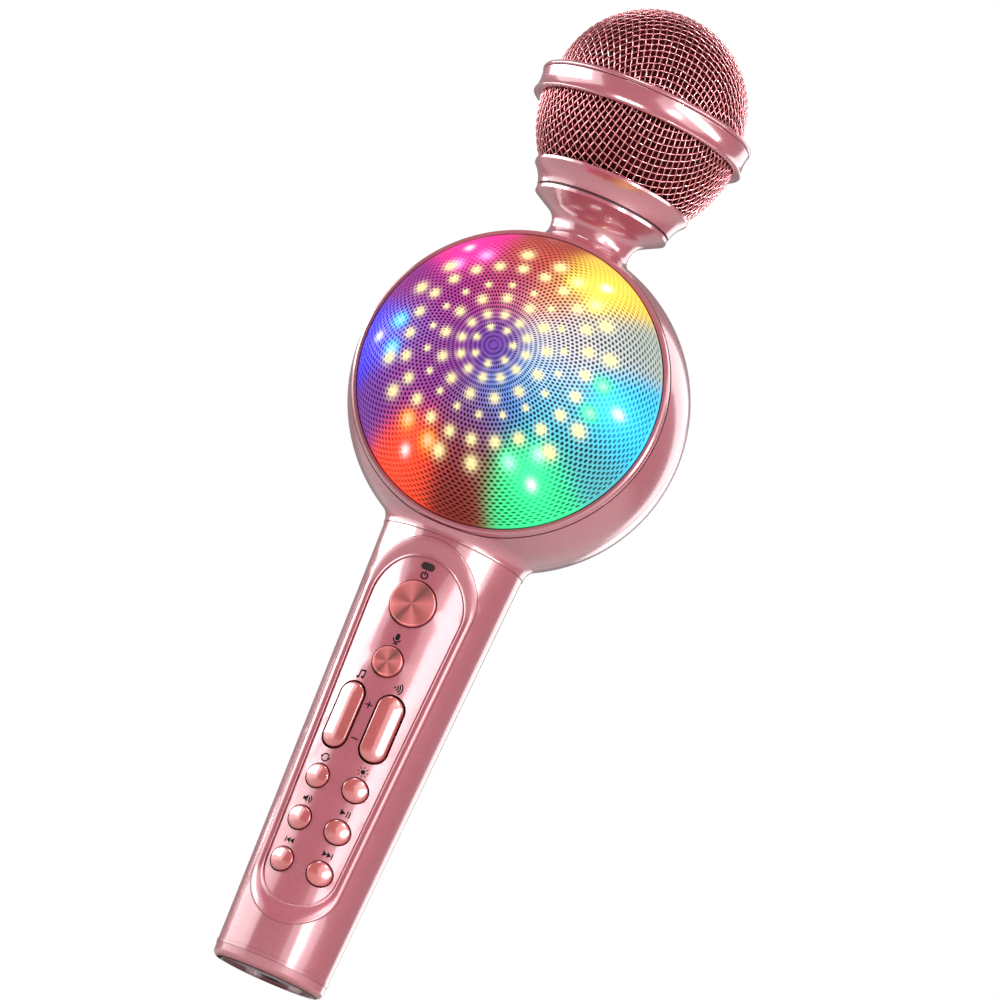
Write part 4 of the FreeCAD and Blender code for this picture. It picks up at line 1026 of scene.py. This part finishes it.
def tapered_stadium(bottom, top, narrow, wide, inset):
    """Points (x, height) round two end circles and their common tangents, drawn in by an inset."""
    low, high = bottom + narrow, top - wide
    lean = math.asin((wide - narrow) / (high - low))
    upper = end_arc(high, wide - inset, -lean, math.pi + 2 * lean)
    lower = end_arc(low, narrow - inset, math.pi + lean, math.pi - 2 * lean)
    shares = [step / OUTLINE_STEPS for step in range(1, OUTLINE_STEPS)]
    left = [between(upper[-1], lower[0], share) for share in shares]
    right = [between(lower[-1], upper[0], share) for share in shares]
    return upper + left + lower + right


def make_recess_frame():
    """The frame round the panel: a soft slope down from the handle, then a thin lip at the plate."""
    rings = [[on_handle(x, height, rise) for x, height in tapered_stadium(*RECESS, inset)]
             for inset, rise in FRAME_TOP]
    inner = tapered_stadium(*PLATE, -PLATE_GAP)
    outer = tapered_stadium(*RECESS, FRAME_TOP[-1][0])
    for share, rise in FRAME_SLOPE:
        rings.append([on_handle(*between(start, end, share), rise) for start, end in zip(outer, inner)])
    piece = add_piece("recess_frame", *strips(rings), "rose_panel")
    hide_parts("panel_frame")


KEY_RADIUS = 2.9
KEY_SIDE = 4.8              # distance of the small keys from the middle
# Rows of small keys: height, left key and right key.
KEY_ROWS = (
    (46.2, "mode_button", "light_button"),
    (35.8, "speaker_button", "play_button"),
    (25.5, "previous_button", "next_button"),
)
# Other keys: name, x, height and radius.
SPUN_KEYS = (("power_button", 0.0, 90.9, 5.5), ("voice_button", 0.0, 76.4, 3.65))
ROCKERS = (("music_volume_rocker", -4.85, 61.5, 3.05), ("echo_volume_rocker", 4.85, 61.5, 3.05))
ROCKER_STRAIGHT = 5.05      # half the straight length of a rocker
KEY_GAP = 0.2
ROCKER_GAP = 0.35
KEY_CROWN = 0.2
ROCKER_CROWN = 0.22
CROWN_STEPS = 8
KEY_CORNERS = 64
SPUN_CORNERS = 96
SMALLEST_REACH = 0.02       # radius of a key's last ring
GROOVE_PITCH = 0.2
GROOVE_DEPTH = 0.045
# Edges of the keys from below the panel upwards: inset, and rise above the panel.
KEY_EDGE = ((0.0, -2.0), (0.0, 0.36), (0.05, 0.52), (0.16, 0.64), (0.34, 0.72))
SPUN_EDGE = (
    (0.0, -2.0), (0.0, 0.40), (0.05, 0.55), (0.14, 0.64), (0.26, 0.68), (0.36, 0.66), (0.42, 0.60),
)


def key_rings(x, height, radius, straight, profile, corners=KEY_CORNERS):
    """Rings of a key that follow the panel, from (inset, rise above the panel) pairs."""
    rings = []
    for inset, rise in profile:
        reach = max(radius - inset, SMALLEST_REACH)
        ring = []
        for turn in turns(corners, 0.5):
            lift = math.copysign(straight, math.sin(turn))
            ring.append(on_handle(x + reach * math.cos(turn), height + lift + reach * math.sin(turn),
                                  rise - PLATE_SINK))
        rings.append(ring)
    return rings


def crowned(radius, crown):
    """The profile of a key with a crowned top, from its foot to its middle."""
    inset, rise = KEY_EDGE[-1]
    profile = list(KEY_EDGE)
    for step in range(1, CROWN_STEPS + 1):
        share = step / CROWN_STEPS
        profile.append((inset + (radius - inset) * share, rise + crown * math.sin(share * math.pi / 2)))
    return profile


def grooved(radius):
    """The profile of a key with a bevelled edge and the fine grooves of a lathe in its face."""
    start, rise = SPUN_EDGE[-1]
    steps = 2 * round((radius - start) / GROOVE_PITCH)
    profile = list(SPUN_EDGE)
    for step in range(1, steps):
        groove = GROOVE_DEPTH if step % 2 else 0.0
        profile.append((start + (radius - start) * step / steps, rise - groove))
    return profile


def add_cap(node, vertices, faces, slot):
    """A key's cap in place of its CAD node."""
    cap = add_piece(node + "_cap", vertices, faces, slot, node)
    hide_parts(node)


def make_round_keys():
    """Six small crowned keys."""
    radius = KEY_RADIUS - KEY_GAP / 2
    profile = crowned(radius, KEY_CROWN)
    for height, left, right in KEY_ROWS:
        for name, x in ((left, -KEY_SIDE), (right, KEY_SIDE)):
            add_cap(name, *strips(key_rings(x, height, radius, 0.0, profile), cap=True), "coral_key")


def make_rockers():
    """Two long rockers with a crowned face, closed across its middle line."""
    for name, x, height, size in ROCKERS:
        radius = size - ROCKER_GAP / 2
        rings = key_rings(x, height, radius, ROCKER_STRAIGHT, crowned(radius, ROCKER_CROWN))
        vertices, faces = strips(rings)
        last = len(vertices) - KEY_CORNERS
        for index in range(KEY_CORNERS // 2 - 1):
            across = len(vertices) - 1 - index
            faces.append((last + index, last + index + 1, across - 1, across))
        add_cap(name, vertices, faces, "coral_key")


def make_spun_keys():
    """The two metal keys."""
    for name, x, height, size in SPUN_KEYS:
        radius = size - KEY_GAP / 2
        rings = key_rings(x, height, radius, 0.0, grooved(radius), SPUN_CORNERS)
        add_cap(name, *strips(rings, cap=True), "copper_key")


# ---------------- marks on the panel

MARK_LIFT = 0.03            # height of the print over the panel
MARK_STROKE = 0.3
MARK_BOLD = 0.36
ARC_STEP = 15               # degrees
DISC_SIDES = 16


class Mark:
    """A printed pictogram, built from strokes and filled shapes about its own middle."""

    def __init__(self, x, height, size):
        self.x = x
        self.height = height
        self.size = size
        self.vertices = []
        self.faces = []

    def stroke(self, points, width=MARK_STROKE):
        """A line of even width through points, a quarter of its width longer at both ends."""
        reach = width / 2 / self.size
        for (x0, y0), (x1, y1) in zip(points, points[1:]):
            run = math.hypot(x1 - x0, y1 - y0)
            along_x, along_y = (x1 - x0) / run * reach, (y1 - y0) / run * reach
            ends = ((x0, y0, -0.5, 1), (x1, y1, 0.5, 1), (x1, y1, 0.5, -1), (x0, y0, -0.5, -1))
            self.fill([(x + end * along_x - side * along_y, y + end * along_y + side * along_x)
                       for x, y, end, side in ends])
        return self

    def fill(self, points):
        """A filled convex shape, just over the panel."""
        start = len(self.vertices)
        for x, y in points:
            self.vertices.append(on_handle(self.x + x * self.size, self.height + y * self.size,
                                           MARK_LIFT - PLATE_SINK))
        self.faces.append(tuple(range(start, len(self.vertices))))
        return self

    def arc(self, x, y, radius, first, last, width=MARK_STROKE):
        """A stroke along a circle, between two angles in degrees."""
        steps = int(abs(last - first) / ARC_STEP)
        angles = [math.radians(first + (last - first) * step / steps) for step in range(steps + 1)]
        return self.stroke([(x + radius * math.cos(a), y + radius * math.sin(a)) for a in angles], width)

    def disc(self, x, y, radius):
        """A filled circle."""
        return self.fill([(x + radius * math.cos(a), y + radius * math.sin(a)) for a in turns(DISC_SIDES)])


def power_mark(mark):
    mark.arc(0, 0, 0.8, 125, 415, MARK_BOLD).stroke([(0, 0.15), (0, 1.05)], MARK_BOLD)


def voice_mark(mark):
    mark.disc(0, 0.75, 0.42).disc(0, 0.15, 0.42)
    mark.fill([(-0.42, 0.75), (-0.42, 0.15), (0.42, 0.15), (0.42, 0.75)])
    mark.arc(0, 0.15, 0.75, 190, 350).stroke([(0, -0.6), (0, -1.0)])
    mark.stroke([(-0.45, -1.0), (0.45, -1.0)])


def music_mark(mark):
    mark.disc(-0.5, -0.75, 0.33).disc(0.65, -0.55, 0.33)
    mark.stroke([(-0.25, -0.75), (-0.25, 0.8)]).stroke([(0.9, -0.55), (0.9, 1.0)])
    mark.stroke([(-0.25, 0.8), (0.9, 1.0)], 0.4)


def echo_mark(mark):
    mark.disc(-0.9, 0, 0.25)
    for radius in (0.7, 1.25, 1.8):
        mark.arc(-0.9, 0, radius, -48, 48)


def plus_mark(mark):
    mark.stroke([(-1, 0), (1, 0)]).stroke([(0, -1), (0, 1)])


def minus_mark(mark):
    mark.stroke([(-1, 0), (1, 0)])


def mode_mark(mark):
    mark.arc(0, 0, 0.85, 30, 165).arc(0, 0, 0.85, 210, 345)
    mark.fill([(-1.25, 0.25), (-0.45, 0.25), (-0.85, -0.35)])
    mark.fill([(1.25, -0.25), (0.45, -0.25), (0.85, 0.35)])


def lamp_mark(mark):
    mark.disc(0, 0, 0.45)
    for ray in range(8):
        angle = math.pi * ray / 4
        mark.stroke([(0.7 * math.cos(angle), 0.7 * math.sin(angle)),
                     (1.1 * math.cos(angle), 1.1 * math.sin(angle))], 0.18)


def speaker_mark(mark):
    mark.fill([(-1.1, -0.35), (-0.6, -0.35), (-0.6, 0.35), (-1.1, 0.35)])
    mark.fill([(-0.6, -0.35), (0, -0.9), (0, 0.9), (-0.6, 0.35)])
    mark.arc(0, 0, 0.5, -50, 50).arc(0, 0, 1.0, -50, 50)


def play_mark(mark):
    mark.fill([(-1.1, -0.75), (0.1, 0), (-1.1, 0.75)])
    mark.fill([(0.35, -0.75), (0.6, -0.75), (0.6, 0.75), (0.35, 0.75)])
    mark.fill([(0.9, -0.75), (1.15, -0.75), (1.15, 0.75), (0.9, 0.75)])


def skip_mark(mark, way):
    for start in (-1.1, -0.1):
        mark.fill([(start * way, -0.7), ((start + 1.0) * way, 0), (start * way, 0.7)])
    mark.fill([(0.95 * way, -0.7), (1.2 * way, -0.7), (1.2 * way, 0.7), (0.95 * way, 0.7)])


def previous_mark(mark):
    skip_mark(mark, -1)


def next_mark(mark):
    skip_mark(mark, 1)


# Marks: drawing, x, height, and millimetres to a unit of the drawing.
MARKS = (
    (power_mark, 0.0, 98.0, 0.95),
    (voice_mark, 0.0, 82.0, 1.15),
    (music_mark, -4.85, 71.6, 1.05),
    (echo_mark, 4.85, 71.6, 0.95),
    (plus_mark, 0.0, 65.6, 0.75),
    (minus_mark, 0.0, 57.2, 0.75),
    (mode_mark, -4.8, 50.8, 1.05),
    (lamp_mark, 4.8, 50.8, 1.15),
    (speaker_mark, -4.8, 40.5, 1.05),
    (play_mark, 4.8, 40.5, 1.0),
    (previous_mark, -4.8, 30.2, 1.0),
    (next_mark, 4.8, 30.2, 1.0),
)


def make_marks():
    """Every mark on the panel."""
    for draw, x, height, size in MARKS:
        mark = Mark(x, height, size)
        draw(mark)
        add_piece(draw.__name__, mark.vertices, mark.faces, "rubber", smooth=False)


make_camera()
make_world()
make_lights()
make_floor()
bpy.context.scene.view_settings.view_transform = "Standard"
MATERIALS = finish_nodes()
make_woven_head()
make_foam()
make_head_band()
make_lit_grille()
make_recess_frame()
make_seam_lip()
make_round_keys()
make_rockers()
make_spun_keys()
make_marks()
